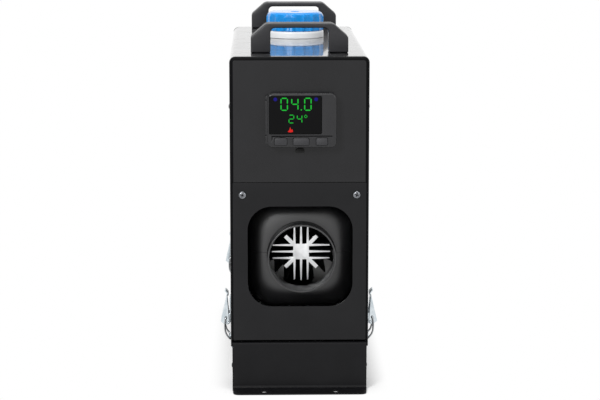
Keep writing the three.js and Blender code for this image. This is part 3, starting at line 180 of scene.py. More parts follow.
COAT = {"Specular_IOR_Level": 0.2, "Coat_Weight": 0.3, "Coat_Roughness": 0.06}
LOOKS = {
    # Polyester powder coat, sprayed and baked: satin black with a slight orange peel.
    "case_coat": surface(
        "powder_coat_satin", "#161618", "#111113", 34, 1.6, 0.004, 0.26, 0.03, **COAT
    ),
    # The same powder coat on the tray, blacker and flatter than on the case: painted shade, for the dark
    # floor and shadow that the tray mirrors.
    "tray_coat": surface(
        "powder_coat_tray_painted_shade", "#111113", "#0c0c0e", 26, 1.5, 0.006, 0.38, 0.04,
        Specular_IOR_Level=0.12, Coat_Weight=0.1, Coat_Roughness=0.16
    ),
    # Glass-filled nylon, moulded in a spark-eroded tool: fine grain, soft sheen.
    "handle_plastic": surface(
        "nylon_moulded", "#252528", "#1e1e21", 18, 0.9, 0.020, 0.42, 0.04, Specular_IOR_Level=0.4
    ),
    # Glass-filled nylon, moulded satin: the heater's casing shines softly.
    "casing_plastic": surface(
        "nylon_satin", "#141416", "#0f0f11", 30, 0.8, 0.022, 0.40, 0.03, Specular_IOR_Level=0.9
    ),
    # ABS, moulded with a fine texture: dark grey, with a soft sheen.
    "black_plastic": surface(
        "abs_textured", "#212123", "#1b1b1d", 14, 0.6, 0.005, 0.26, 0.03, Specular_IOR_Level=0.4
    ),
    # Die-cast aluminium, blasted: bright, with the skin of the die.
    "cast_aluminium": surface(
        "aluminium_cast", "#f6f7f8", "#eaebec", 6, 0.9, 0.020, 0.42, 0.06, Metallic=1.0
    ),
    # Bright zinc plate on pressed steel, passivated: a cool blue cast.
    "zinc_plate": surface(
        "zinc_passivated", "#dfe6ea", "#c3ced4", 9, 0.7, 0.004, 0.26, 0.06, Metallic=1.0
    ),
    # Cold-drawn wire and turned steel: plain grey, with a clean gleam.
    "bright_steel": surface(
        "steel_drawn", "#a9acae", "#8d9092", 7, 0.5, 0.003, 0.28, 0.05, Metallic=1.0
    ),
    # Moulded nitrile rubber: matt, slightly dusty.
    "rubber": surface(
        "rubber_moulded", "#1a1a1a", "#131313", 8, 0.5, 0.010, 0.75, 0.06, Specular_IOR_Level=0.3
    ),
    # Blow-moulded natural HDPE: milky.
    "tank_plastic": surface(
        "hdpe_natural", "#e6e5dc", "#d9d8ce", 40, 2.0, 0.020, 0.42, 0.04, Subsurface_Weight=0.2,
        Subsurface_Scale=0.004,
    ),
    # White polypropylene, moulded: smooth and a little waxy.
    "white_plastic": surface(
        "polypropylene_white", "#f2f4f6", "#e9ecef", 20, 1.2, 0.004, 0.30, 0.03
    ),
    # Blue polypropylene, moulded: clean and even, shiny only when it is seen aslant.
    "blue_plastic": surface(
        "polypropylene_blue", "#0a90e2", "#0884d4", 16, 1.2, 0.004, 0.28, 0.03
    ),
    # Smoked acrylic over the display, treated against glare: deep black, with little mirror.
    "display_glass": surface(
        "acrylic_smoked", "#060607", "#050506", 30, 3.0, 0.001, 0.09, 0.01, Specular_IOR_Level=0.1
    ),
    # Extruded nylon fuel line: dark, slightly green, half glossy.
    "fuel_hose": surface(
        "nylon_fuel_line", "#2a2c26", "#20221d", 12, 0.8, 0.004, 0.36, 0.04
    ),
}
glossier_aslant(LOOKS["case_coat"], (0.3, 1.0), (0.2, 1.0))
glossier_aslant(LOOKS["blue_plastic"], (0.0, 1.0), (0.25, 0.8))
# Moulded silicone keys: matt, and a shade lighter than the bezel round them.
KEY_LOOK = surface(
    "silicone_key", "#2f2f32", "#1f1f22", 1.2, 0.5, 0.012, 0.48, 0.05, Specular_IOR_Level=0.4
)
# A screw's pressed cross recess, in painted shade: too deep for light, so dull and nearly black.
RECESS_SHADE_LOOK = surface("steel_recess_painted_shade", "#242528", "#17181a", 2, 0.3, 0.002, 0.6, 0.05, Metallic=0.4)
# Nickel-plated steel screws: glossy, and a darker grey than the latches.
SCREW_LOOK = surface("steel_nickel", "#8d8f93", "#6d6f73", 3, 0.4, 0.002, 0.2, 0.05, Metallic=1.0)
# Painted shade: the values for coat and plastic that lie in their own shadow and mirror little.
SHADOWED = ("#0b0b0c", "#08080a", 30, 1.6, 0.004, 0.5, 0.03)
# The rolled rim of the front pan: painted shade, darker for the dark that it mirrors.
RIM_SHADE_LOOK = surface("powder_coat_rim_painted_shade", *SHADOWED, Specular_IOR_Level=0.04)
# The moulded groove across the controller's face, in painted shade.
GROOVE_SHADE_LOOK = surface("abs_groove_painted_shade", *SHADOWED, Specular_IOR_Level=0.04)
# The outlet plate's coat, a shade flatter than the panel's.
PLATE_LOOK = surface(
    "powder_coat_plate", "#121214", "#0e0e10", 30, 1.6, 0.004, 0.34, 0.03, Specular_IOR_Level=0.14,
    Coat_Weight=0.2, Coat_Roughness=0.08
)
# The casting behind its machined front face: dull from the die, and painted dark as shade.
CAST_SHADE_LOOK = surface(
    "aluminium_painted_shade", "#2e2f31", "#212224", 5, 0.9, 0.030, 0.62, 0.05, Metallic=0.6
)
GREEN_LOOK = lamp_look("led_green", "#14bc34")
RED_LOOK = lamp_look("led_red", "#d81c18")
BLUE_LOOK = lamp_look("led_blue", "#120a78")

# ------------------------------------------------------------------ mesh work

# An outline drawn in (u, v) with depth w: on the front it is (x, z) and y, on a side (y, z) and x.
ON_FRONT = Matrix(((1, 0, 0, 0), (0, 0, 1, 0), (0, 1, 0, 0), (0, 0, 0, 1)))
ON_SIDE = Matrix(((0, 0, 1, 0), (1, 0, 0, 0), (0, 1, 0, 0), (0, 0, 0, 1)))
# A profile turned about Z is laid along Y, with its height as y.
ALONG_Y = Matrix(((1, 0, 0, 0), (0, 0, 1, 0), (0, -1, 0, 0), (0, 0, 0, 1)))


def verts_of(result):
    return [item for item in result["geom"] if isinstance(item, bmesh.types.BMVert)]


def block(bm, low, high):
    """A box between two corners; gives its vertices."""
    verts = bmesh.ops.create_cube(bm, size=1.0)["verts"]
    size = [b - a for a, b in zip(low, high)]
    middle = [(a + b) / 2 for a, b in zip(low, high)]
    bmesh.ops.scale(bm, verts=verts, vec=size)
    bmesh.ops.translate(bm, verts=verts, vec=middle)
    return verts


def rounded(bm, geom, radius, steps=8, affect="EDGES"):
    """Rounds edges or corners; small radii take few steps."""
    bmesh.ops.bevel(
        bm, geom=list(geom), offset=radius, offset_type="OFFSET", segments=steps, profile=0.5,
        affect=affect, clamp_overlap=False, material=-1,
    )


def soften(bm, width, steps=2, angle=40.0):
    """Takes the sharpness off every edge that turns by more than `angle` degrees."""
    limit = math.radians(angle)
    sharp = [e for e in bm.edges if e.is_manifold and e.calc_face_angle(0.0) > limit]
    rounded(bm, sharp, width, steps)


def loop(bm, corners, radii=None, steps=8):
    """A closed line through corners [u, v]; `radii` gives their roundings by corner number."""
    verts = [bm.verts.new((u, v, 0)) for u, v in corners]
    bm.faces.new(verts)
    groups = {}
    for index, radius in (radii or {}).items():
        groups.setdefault(radius, []).append(verts[index])
    for radius, corner_verts in groups.items():
        rounded(bm, corner_verts, radius, steps, "VERTICES")
    bmesh.ops.delete(bm, geom=bm.faces[:], context="FACES_ONLY")


def rectangle(bm, width, height, radius=0.0, u=0.0, v=0.0, steps=8):
    half_u, half_v = width / 2, height / 2
    corners = [(u - half_u, v - half_v), (u + half_u, v - half_v)]
    corners += [(u + half_u, v + half_v), (u - half_u, v + half_v)]
    loop(bm, corners, {i: radius for i in range(4)} if radius else None, steps)


def ring(bm, radius, u=0.0, v=0.0, steps=48):
    verts = bmesh.ops.create_circle(bm, cap_ends=False, radius=radius, segments=steps)["verts"]
    bmesh.ops.translate(bm, verts=verts, vec=(u, v, 0))


def fill(bm, edges):
    """Fills flat lines with triangles; a line within another leaves a hole."""
    bmesh.ops.triangle_fill(bm, use_beauty=True, use_dissolve=False, edges=edges)


def filled(bm, depth, place=None, low=0.0):
    """Fills the drawn lines, holes left open, and carries them `depth` along w from `low`."""
    fill(bm, bm.edges[:])
    grown = bmesh.ops.extrude_face_region(bm, geom=bm.faces[:])
    bmesh.ops.translate(bm, verts=verts_of(grown), vec=(0, 0, depth))
    bmesh.ops.translate(bm, verts=bm.verts, vec=(0, 0, low))
    bmesh.ops.recalc_face_normals(bm, faces=bm.faces)
    if place:
        bm.transform(place)
        bmesh.ops.recalc_face_normals(bm, faces=bm.faces)


def sliced(bm, point, normal):
    """Cuts every face along a plane and keeps both sides."""
    bmesh.ops.bisect_plane(
        bm, geom=bm.verts[:] + bm.edges[:] + bm.faces[:], plane_co=point, plane_no=normal, dist=1e-4
    )


def dropped(bm, test):
    """Takes away the faces whose middle passes the test."""
    gone = [f for f in bm.faces if test(f.calc_center_median())]
    bmesh.ops.delete(bm, geom=gone, context="FACES")


def refilled(bm, axis, holes, test=lambda middle: True, steps=32):
    """Fills the flats across an axis again round their holes, each [radius, place]."""
    bm.normal_update()
    across = [f for f in bm.faces if abs(getattr(f.normal, axis)) > 0.9999]
    flat = [f for f in across if test(f.calc_center_median())]
    rim = list({e for f in flat for e in f.edges})
    bmesh.ops.delete(bm, geom=flat, context="FACES_ONLY")
    rim = [e for e in rim if e.is_valid]
    turn = ON_FRONT if axis == "y" else Matrix.Identity(4)
    for radius, place in holes:
        circle = bmesh.ops.create_circle(
            bm, cap_ends=False, radius=radius, segments=steps, matrix=Matrix.Translation(place) @ turn
        )
        rim += list({e for v in circle["verts"] for e in v.link_edges})
    fill(bm, rim)


def faced_out(bm, axis):
    """Turns an open sheet's faces outwards: the last one along the axis looks along it."""
    bmesh.ops.recalc_face_normals(bm, faces=bm.faces)
    last = max(bm.faces, key=lambda f: getattr(f.calc_center_median(), axis))
    if getattr(last.normal, axis) < 0:
        bmesh.ops.reverse_faces(bm, faces=bm.faces)


def turned(profile, steps=64, place=None, centre=(0, 0, 0), closed=True):
    """A profile of [radius, height] turned about an axis through `centre`."""
    bm = bmesh.new()
    verts = [bm.verts.new((radius, 0, height)) for radius, height in profile]
    following = verts[1:] + verts[:1] if closed else verts[1:]
    edges = [bm.edges.new(pair) for pair in zip(verts, following)]
    bmesh.ops.spin(
        bm, geom=verts + edges, cent=(0, 0, 0), axis=(0, 0, 1), angle=FULL, steps=steps, use_merge=True
    )
    bmesh.ops.remove_doubles(bm, verts=bm.verts, dist=1e-3)
    if place:
        bm.transform(place)
    bmesh.ops.translate(bm, verts=bm.verts, vec=centre)
    bmesh.ops.recalc_face_normals(bm, faces=bm.faces)
    return bm


def merged(*meshes):
    """Several meshes as one."""
    whole = meshes[0]
    for other in meshes[1:]:
        carrier = bpy.data.meshes.new("carrier")
        other.to_mesh(carrier)
        other.free()
        whole.from_mesh(carrier)
        bpy.data.meshes.remove(carrier)
    return whole


def copied(node, edge=0.0, steps=2, angle=40.0, cleared=True):
    """A CAD node's shape, merged and cleared of its triangles, with its edges broken by `edge`.

    `cleared` is false where a face with several holes has to keep its triangles.
    """
    bm = bmesh.new()
    bm.from_mesh(NODES[node].data)
    bm.transform(Matrix.Scale(1 / MM, 4))
    bmesh.ops.remove_doubles(bm, verts=bm.verts, dist=2e-3)
    if cleared:
        bmesh.ops.dissolve_limit(
            bm, angle_limit=math.radians(0.4), verts=bm.verts, edges=bm.edges,
            use_dissolve_boundaries=False,
        )
    if edge:
        soften(bm, edge, steps, angle)
    return bm


def finished(bm, name, slot, body=BODY, nodes=(), look=None, smooth=35.0, second=None):
    """Brings a piece to metres, gives it its finish and sets it on its body.

    Faces marked 1 get the second look.
    """
    bmesh.ops.remove_doubles(bm, verts=bm.verts, dist=1e-3)
    bm.transform(Matrix.Scale(MM, 4))
    mesh = bpy.data.meshes.new(name)
    bm.to_mesh(mesh)
    bm.free()
    mesh.shade_smooth()
    mesh.set_sharp_from_angle(angle=math.radians(smooth))
    mesh.materials.append(look or LOOKS[slot])
    if second:
        mesh.materials.append(second)
    piece = bpy.data.objects.new(name, mesh)
    bpy.context.scene.collection.objects.link(piece)
    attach(piece, body)
    if nodes:
        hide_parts(*nodes)
    return piece


def eased(node, name, slot, edge, steps=2, angle=50.0, body=BODY, **finish):
    """A CAD node's own shape with its edges broken, finished in its place."""
    finished(copied(node, edge, steps, angle), name, slot, body, [node], **finish)


# ------------------------------------------------------------------ tray


def tray_hat():
    """The tray's bent sheet, drawn along its upper face: foot, end wall, deck, end wall, foot."""
    half, end, deck, sheet = TRAY["x"], TRAY["end"], TRAY["deck"], TRAY["sheet"]
    toe = end + FLANGE["reach"]
    hat = bmesh.new()
    section = [(-toe, sheet), (-end, sheet), (-end, deck), (end, deck), (end, sheet), (toe, sheet)]
    line = [hat.verts.new((-half, y, z)) for y, z in section]
    edges = [hat.edges.new(pair) for pair in zip(line, line[1:])]
    grown = bmesh.ops.extrude_edge_only(hat, edges=edges)
    bmesh.ops.translate(hat, verts=verts_of(grown), vec=(2 * half, 0, 0))
    bends = [e for e in hat.edges if e.is_manifold and e.calc_face_angle(0.0) > 1.0]
    rounded(hat, bends, TRAY["bend"], 6)
    corners = [v for v in hat.verts if abs(abs(v.co.y) - toe) < NEAR]
    for vert in corners:
        vert.co.x *= FLANGE["half"] / half
    rounded(hat, corners, FLANGE["corner"], 6, "VERTICES")
    deck_holes = [(radius, (DUCT_X, y, deck)) for radius, y in PIPE_HOLES]
    refilled(hat, "z", deck_holes, lambda c: c.z > deck - TRAY["bend"])
    for way in (-1, 1):
        y = way * (end + FLANGE["hole_y"])
        holes = [(FLANGE["hole"], (side * FLANGE["hole_x"], y, sheet)) for side in (-1, 1)]
        refilled(hat, "z", holes, lambda c: c.z < 2 * sheet and c.y * way > 0)
    faced_out(hat, "z")
    bmesh.ops.solidify(hat, geom=hat.faces[:], thickness=sheet)
    return hat


def tray_skirt(side):
    """The sheet along one side, cut out in the middle for the pipes."""
    half, sheet = TRAY["x"], TRAY["sheet"]
    reach, top = TRAY["end"] - TRAY["bend"], TRAY["deck"] - sheet / 2
    way, foot, soffit = PIPE_WAY["half"], PIPE_WAY["foot"], PIPE_WAY["top"]
    corners = [(-reach, foot), (-way, foot), (-way, soffit), (way, soffit), (way, foot)]
    corners += [(reach, foot), (reach, top), (-reach, top)]
    inner, toe = PIPE_WAY["corner"], PIPE_WAY["toe"]
    skirt = bmesh.new()
    loop(skirt, corners, {2: inner, 3: inner, 0: toe, 5: toe})
    filled(skirt, sheet, ON_SIDE, half - sheet)
    if side < 0:
        bmesh.ops.scale(skirt, verts=skirt.verts, vec=(-1, 1, 1))
        bmesh.ops.recalc_face_normals(skirt, faces=skirt.faces)
    return skirt


def base_tray():
    sheets = merged(tray_hat(), tray_skirt(-1), tray_skirt(1))
    finished(sheets, "tray_sheet", "tray_coat", nodes=["base_tray"])


base_tray()

# ------------------------------------------------------------------ case


def shoulders(bm, top):
    """The edges that run along the case at its two upper corners."""
    high = [e for e in bm.edges if all(v.co.z > top - NEAR for v in e.verts)]
    return [e for e in high if abs(e.verts[0].co.y - e.verts[1].co.y) > 1]


def arch(inset, reach_from, reach_to, foot):
    """The case's bent section between two depths, open at both ends and at its foot."""
    bm = bmesh.new()
    half, top = WALL_X - inset, TOP - inset
    block(bm, (-half, reach_from, foot), (half, reach_to, top))
    rounded(bm, shoulders(bm, top), SHOULDER - inset)
    ends = [f for f in bm.faces if abs(f.normal.y) > 0.9 or f.normal.z < -0.9]
    bmesh.ops.delete(bm, geom=ends, context="FACES")
    return bm


def case_cover():
    cover = arch(0.0, -SEAM_Y + GAP, SEAM_Y - GAP, SKIRT)
    refilled(cover, "z", [(NECK_BORE, (0, NECK_Y, TOP))], steps=64)
    faced_out(cover, "z")
    # Notches in the lower edge, one for each latch's wire.
    for end in (-1, 1):
        for y in (LATCH_Y - NOTCH, LATCH_Y + NOTCH):
            sliced(cover, (0, end * y, 0), (0, 1, 0))
    sliced(cover, (0, 0, PANEL_FOOT), (0, 0, 1))
    dropped(cover, lambda c: c.z < PANEL_FOOT and abs(abs(c.y) - LATCH_Y) < NOTCH)
    bmesh.ops.solidify(cover, geom=cover.faces[:], thickness=SHEET)
    lips = []
    for end in (-1, 1):
        near, far = sorted((end * (SEAM_Y - LIP["inside"]), end * (SEAM_Y + LIP["outside"])))
        lip = arch(SHEET + GAP, near, far, PANEL_FOOT)
        bmesh.ops.solidify(lip, geom=lip.faces[:], thickness=SHEET)
        lips.append(lip)
    finished(merged(cover, *lips), "cover_sheet", "case_coat", nodes=["case_cover"])


def end_pan(end):
    """The pressed pan that closes one end, -1 in front and 1 behind, open at its back and foot."""
    bm = bmesh.new()
    block(bm, (-WALL_X, -END_Y, SKIRT), (WALL_X, -SEAM_Y, TOP))
    rounded(bm, shoulders(bm, TOP), PAN_SHOULDER)
    face_edges = [e for e in bm.edges if all(v.co.y < -END_Y + NEAR for v in e.verts)]
    rim = [e for e in face_edges if max(v.co.z for v in e.verts) > SKIRT + 1]
    rounded(bm, rim, PAN_RIM, 7)
    dropped(bm, lambda c: c.y > -SEAM_Y - NEAR or c.z < SKIRT + NEAR)
    if end > 0:
        bmesh.ops.scale(bm, verts=bm.verts, vec=(1, -1, 1))
        bmesh.ops.reverse_faces(bm, faces=bm.faces)
    return bm


def foot_opened(bm):
    """Takes away a pan's face below its foot; its two side walls stay."""
    for x in (SHEET - WALL_X, WALL_X - SHEET):
        sliced(bm, (x, 0, 0), (1, 0, 0))
    sliced(bm, (0, 0, PANEL_FOOT), (0, 0, 1))
    dropped(bm, lambda c: abs(c.x) < WALL_X - SHEET and c.z < PANEL_FOOT)


def front_panel():
    """The front pan, cut out for the outlet plate, with a backing sheet behind the plate."""
    bm = end_pan(-1)
    recess, recess_top = PLATE["half"] + GAP, PLATE["top"] + 2 * GAP
    for x in (-recess, recess):
        sliced(bm, (x, 0, 0), (1, 0, 0))
    sliced(bm, (0, 0, recess_top), (0, 0, 1))
    dropped(bm, lambda c: abs(c.x) < recess and c.z < recess_top)
    foot_opened(bm)
    bm.normal_update()
    # The rim's faces, turned away from the front, get the painted shade.
    for face in bm.faces:
        if 0.2 < -face.normal.y < 0.985:
            face.material_index = 1
    bmesh.ops.solidify(bm, geom=bm.faces[:], thickness=SHEET)
    backing = bmesh.new()
    low, high = PANEL_FOOT, recess_top + SHEET
    rectangle(backing, 2 * (WALL_X - SHEET), high - low, v=(low + high) / 2)
    width, height = OPENING["width"] + OPENING["margin"], OPENING["height"] + OPENING["margin"]
    rectangle(backing, width, height, OPENING["radius"], OPENING["x"], OPENING["z"])
    filled(backing, SHEET, ON_FRONT, -END_Y + PLATE["sheet"] + GAP)
    finished(merged(bm, backing), "front_pan", "case_coat", nodes=["front_panel"], second=RIM_SHADE_LOOK)


def outlet_plate():
    bm = bmesh.new()
    low, high = PANEL_FOOT, PLATE["top"]
    rectangle(bm, 2 * PLATE["half"], high - low, PLATE["corner"], v=(low + high) / 2, steps=3)
    rectangle(
        bm, OPENING["width"], OPENING["height"], OPENING["radius"], OPENING["x"], OPENING["z"], steps=14
    )
    for side in (-1, 1):
        ring(bm, SCREW["hole"], side * SCREW["x"], SCREW["z"], 20)
    filled(bm, PLATE["sheet"], ON_FRONT, -END_Y)
    soften(bm, 0.45, 3)
    finished(bm, "duct_plate", "case_coat", nodes=["outlet_plate"], look=PLATE_LOOK)


def rear_panel():
    bm = end_pan(1)
    grille_hole = (GRILLE["outer"] + GAP, (DUCT_X, END_Y, DUCT_Z))
    gland_hole = (GLAND["hole"], (GLAND["x"], END_Y, GLAND["z"]))
    refilled(bm, "y", [grille_hole, gland_hole], steps=64)
    faced_out(bm, "y")
    foot_opened(bm)
    bmesh.ops.solidify(bm, geom=bm.faces[:], thickness=SHEET)
    finished(bm, "rear_pan", "case_coat", nodes=["rear_panel"])


case_cover()
front_panel()
outlet_plate()
rear_panel()

# ------------------------------------------------------------------ screws


def pan_screw(name, x, y, z, node):
    """A pan-head screw with a cross recess, its seat at y."""
    head, height, flat = SCREW["head"], SCREW["height"], SCREW["flat"]
    arm, half = CROSS["arm"], CROSS["half"]
    top = bmesh.new()
    ring(top, flat, 0, 0, 32)
    corners = []
    for quarter in range(4):
        turn = Matrix.Rotation(RIGHT * quarter, 2)
        corners += [turn @ Vector(p) for p in ((half, half), (half, arm), (-half, arm))]
    cross = [top.verts.new((u, v, 0)) for u, v in corners]
    lines = [top.edges.new(pair) for pair in zip(cross, cross[1:] + cross[:1])]
    fill(top, top.edges[:])
    floor = verts_of(bmesh.ops.extrude_edge_only(top, edges=lines))
    bmesh.ops.translate(top, verts=floor, vec=(0, 0, -CROSS["depth"]))
    bmesh.ops.scale(top, verts=floor, vec=(CROSS["taper"], CROSS["taper"], 1))
    fill(top, [e for e in top.edges if all(v in floor for v in e.verts)])
    # The recess's walls and floor get the painted shade.
    for face in top.faces:
        if any(v in floor for v in face.verts):
            face.material_index = 1
    bmesh.ops.translate(top, verts=top.verts, vec=(0, 0, height))
    shank, tip = SHANK["radius"], -SHANK["length"]
    side = [(flat, height), (flat + 0.75, height - 0.3), (head - 0.25, height - 1.05)]
    side += [(head, height - 1.5), (head, 0.0), (shank, 0.0), (shank, tip), (0.0, tip)]
    bm = merged(top, turned(side, 32, closed=False))
    bmesh.ops.remove_doubles(bm, verts=bm.verts, dist=2e-3)
    bm.transform(Matrix.Translation((x, y, z)) @ Matrix.Rotation(RIGHT, 4, "X"))
    bmesh.ops.rotate(
        bm, verts=bm.verts, cent=(x, y, z), matrix=Matrix.Rotation(CROSS["turn"], 3, "Y")
    )
    bmesh.ops.recalc_face_normals(bm, faces=bm.faces)
    finished(bm, name, "zinc_plate", nodes=[node], look=SCREW_LOOK, second=RECESS_SHADE_LOOK)


def side_rivet(name, wall_x, y, z):
    """A low dome rivet through a side sheet, painted with it; the sign of wall_x is its side."""
    radius, height, shank, tip = RIVET["radius"], RIVET["height"], RIVET["shank"], -RIVET["length"]
    profile = [(0.0, tip), (shank, tip), (shank, 0.05), (radius, 0.05), (radius, 0.35)]
    profile += [(radius - 0.5, 0.75), (radius - 1.3, height - 0.1), (0.0, height)]
    lay = Matrix.Rotation(math.copysign(RIGHT, wall_x), 4, "Y")
    finished(turned(profile, 24, lay, (wall_x, y, z)), name, "case_coat")


for side_name, side in SIDES:
    for end_name, way in ENDS:
        panel_y, tray_y = SEAM_Y - PANEL_RIVET["in"], TRAY["end"] - TRAY_RIVET["in"]
        spot = f"{end_name}_{side_name}"
        side_rivet(f"panel_rivet_{spot}", side * WALL_X, way * panel_y, PANEL_RIVET["z"])
        side_rivet(f"tray_rivet_{spot}", side * TRAY["x"], way * tray_y, TRAY_RIVET["z"])

for side_name, side in SIDES:
    screw_x, screw_seat = side * SCREW["x"], -END_Y - GAP
    pan_screw(f"pan_screw_{side_name}", screw_x, screw_seat, SCREW["z"], f"plate_screw_{side_name}")

# ------------------------------------------------------------------ handles


def carry_handle(name, y, node):
    half, height = HANDLE["half"], HANDLE["height"]
    inner, soffit = half - HANDLE["leg"], height - HANDLE["bar"]
    crown, brow = half - HANDLE_CUT["x"], height - HANDLE_CUT["z"]
    corners = [(-half, GAP), (-inner, GAP), (-inner, soffit), (inner, soffit), (inner, GAP)]
    corners += [(half, GAP), (half, brow), (crown, height), (-crown, height), (-half, brow)]
    bm = bmesh.new()
    loop(bm, corners, {2: 5.0, 3: 5.0, 6: 2.0, 7: 3.0, 8: 3.0, 9: 2.0}, steps=6)
    filled(bm, HANDLE["depth"], ON_FRONT)
    soften(bm, 1.3, 4, 50)
    bmesh.ops.translate(bm, verts=bm.verts, vec=(HANDLE["x"], y, TOP))
    finished(bm, name, "handle_plastic", nodes=[node])


carry_handle("carry_handle_front", HANDLE_IN["front"] - END_Y, "handle_front")
carry_handle("carry_handle_rear", END_Y - HANDLE_IN["rear"], "handle_rear")

# ------------------------------------------------------------------ filler neck and cap


def neck_collar():
    base, radius, edge = TOP + GAP, NECK_RING["radius"], NECK_RING["edge"]
    high = base + NECK_RING["height"]
    profile = [(NECK_BORE, base), (radius, base)]
    for i in range(7):
        turn = RIGHT * i / 6
        profile.append((radius - edge + edge * math.cos(turn), high - edge + edge * math.sin(turn)))
    profile.append((NECK_BORE, high))
    bm = turned(profile, 96, centre=(0, NECK_Y, 0))
    finished(bm, "collar_ring", "white_plastic", nodes=["neck_collar"])


def fuel_cap():
    """Scooped flats with a rib between each two, a domed shoulder and a vent in the top.

    Each level is [radius, height, share of the scoop's depth], from the skirt up and inside down.
    """
    base, high, radius = TOP + NECK_RING["height"] + 2 * GAP, CAP["top"], CAP["radius"]
    levels = [
        (radius - 0.9, base, 0.0), (radius, base + 0.9, 1.0), (radius, high - 6.2, 1.0),
        (radius - 0.5, high - 4.6, 0.7), (radius - 1.9, high - 2.3, 0.0), (radius - 4.0, high - 0.8, 0.0),
        (radius - 6.4, high - 0.1, 0.0), (radius - 8.0, high, 0.0), (9.0, high - 0.5, 0.0),
        (5.6, high - 0.5, 0.0), (4.75, high - 1.0, 0.0), (4.3, high - 2.0, 0.0), (0.0, high - 2.0, 0.0),
        (0.0, high - 3.4, 0.0), (25.5, high - 3.4, 0.0), (26.0, high - 4.0, 0.0), (26.0, base, 0.0),
    ]
    steps = CAP["flats"] * len(SCOOP)
    bm = turned([(r, h) for r, h, _ in levels], steps)
    scooped = {round(h, 3): share for _, h, share in levels if share}
    for vert in bm.verts:
        share = scooped.get(round(vert.co.z, 3))
        reach = math.hypot(vert.co.x, vert.co.y)
        if share and reach > 30:
            step = round(math.atan2(vert.co.y, vert.co.x) / (FULL / steps)) % len(SCOOP)
            depth = SCOOP[step] * share
            vert.co.x *= (reach - depth) / reach
            vert.co.y *= (reach - depth) / reach
    bmesh.ops.rotate(bm, verts=bm.verts, cent=(0, 0, 0), matrix=Matrix.Rotation(0.12, 3, "Z"))
    bmesh.ops.translate(bm, verts=bm.verts, vec=(0, NECK_Y, 0))
    finished(bm, "screw_cap", "blue_plastic", body="cap", nodes=["fuel_cap"], smooth=32)


neck_collar()
fuel_cap()

# ------------------------------------------------------------------ warm-air outlet


def rounded_reach(angle, half_x, half_z, corner):
    """How far a rounded rectangle's edge lies from its middle at an angle."""
    c, t = abs(math.cos(angle)), abs(math.sin(angle))
    inner_x, inner_z = half_x - corner, half_z - corner
    if half_x * t <= inner_z * c:
        return half_x / c
    if half_z * c <= inner_x * t:
        return half_z / t
    along = inner_x * c + inner_z * t
    return along + math.sqrt(along**2 - (inner_x**2 + inner_z**2 - corner**2))


def casing_skin():
    """The casing's outside: from a round mouth the dome swells to a rounded block, and back."""
    front, rear, dome = CASING_ENDS["front"], CASING_ENDS["rear"], CASING_ENDS["dome"]
    front_mouth, rear_mouth = CASING_ENDS["front_mouth"], CASING_ENDS["rear_mouth"]
    steps, points = 10, 96
    turns = [RIGHT * i / steps for i in range(steps + 1)]
    stations = [(front + dome * (1 - math.cos(a)), front_mouth, math.sin(a)) for a in turns]
    stations += [(rear - dome * (1 - math.cos(a)), rear_mouth, math.sin(a)) for a in reversed(turns)]
    bm = bmesh.new()
    lines = []
    for y, mouth, share in stations:
        verts = []
        for index in range(points):
            angle = FULL * index / points
            full = rounded_reach(angle, CASING["half_x"], CASING["half_z"], CASING["corner"])
            far = mouth + (full - mouth) * share
            verts.append(bm.verts.new((far * math.cos(angle), y, far * math.sin(angle))))
        lines.append([bm.edges.new(pair) for pair in zip(verts, verts[1:] + verts[:1])])
    for near, far in zip(lines, lines[1:]):
        bmesh.ops.bridge_loops(bm, edges=near + far)
    faced_out(bm, "z")
    return bm


def casing_foot():
    """The flat pad under the casing that stands on the gasket."""
    bm = bmesh.new()
    rectangle(bm, PAD["width"], PAD["depth"], PAD["corner"], DUCT_X, PAD["y"])
    for radius, y in PIPE_HOLES:
        ring(bm, radius, DUCT_X, y, 32)
    filled(bm, PAD["thick"], low=DUCT_Z - CASING["half_z"] - PAD["below"])
    return bm


def casing_halves():
    """The moulded casing, split above its axis."""
    halves = {}
    for name, keep in (("lower", -1), ("upper", 1)):
        bm = casing_skin()
        level = CASING["split"] + keep * GAP / 2
        sliced(bm, (0, 0, level), (0, 0, 1))
        dropped(bm, lambda c: (c.z - level) * keep < 0)
        bmesh.ops.solidify(bm, geom=bm.faces[:], thickness=CASING["wall"])
        bmesh.ops.translate(bm, verts=bm.verts, vec=(DUCT_X, 0, DUCT_Z))
        halves[name] = bm
    finished(halves["upper"], "casing_upper", "casing_plastic", nodes=["heater_upper_shell"])
    lower = merged(halves["lower"], casing_foot())
    finished(lower, "casing_lower", "casing_plastic", nodes=["heater_lower_shell"])


def outlet_ring():
    """The spigot that the warm-air duct is pushed over, with a groove behind its lip."""
    outer, bore, front = COLLAR["outer"], COLLAR["bore"], COLLAR["front"]
    flange, back = COLLAR["flange"], COLLAR["back"]
    profile = [(bore, front + 0.7), (bore + 0.35, front + 0.15), (bore + 0.9, front)]
    profile += [(outer - 0.7, front), (outer - 0.2, front + 0.2), (outer, front + 0.8)]
    profile += [(outer, front + 6), (outer - 0.35, front + 6.8), (outer - 0.35, front + 8.2)]
    profile += [(outer, front + 9), (outer, back - 2.1), (flange, back - 2.0), (flange, back)]
    profile += [(bore, back)]
    bm = turned(profile, 96, ALONG_Y, (DUCT_X, 0, DUCT_Z))
    finished(bm, "duct_collar", "casing_plastic", nodes=["outlet_ring"])


def exchanger_casting():
    """The casting; only the face of its star is machined bright, and the rest is painted dark as shade.
    """
    bm = copied("heat_exchanger")
    front = min(v.co.y for v in bm.verts)
    # Faces behind the star's front face get the painted shade.
    for face in bm.faces:
        face.material_index = 0 if face.calc_center_median().y < front + 0.5 else 1
    soften(bm, 0.35, 2, 50)
    finished(
        bm, "exchanger_casting", "cast_aluminium", nodes=["heat_exchanger"], smooth=20,
        second=CAST_SHADE_LOOK,
    )


casing_halves()
outlet_ring()
exchanger_casting()

# ------------------------------------------------------------------ controller


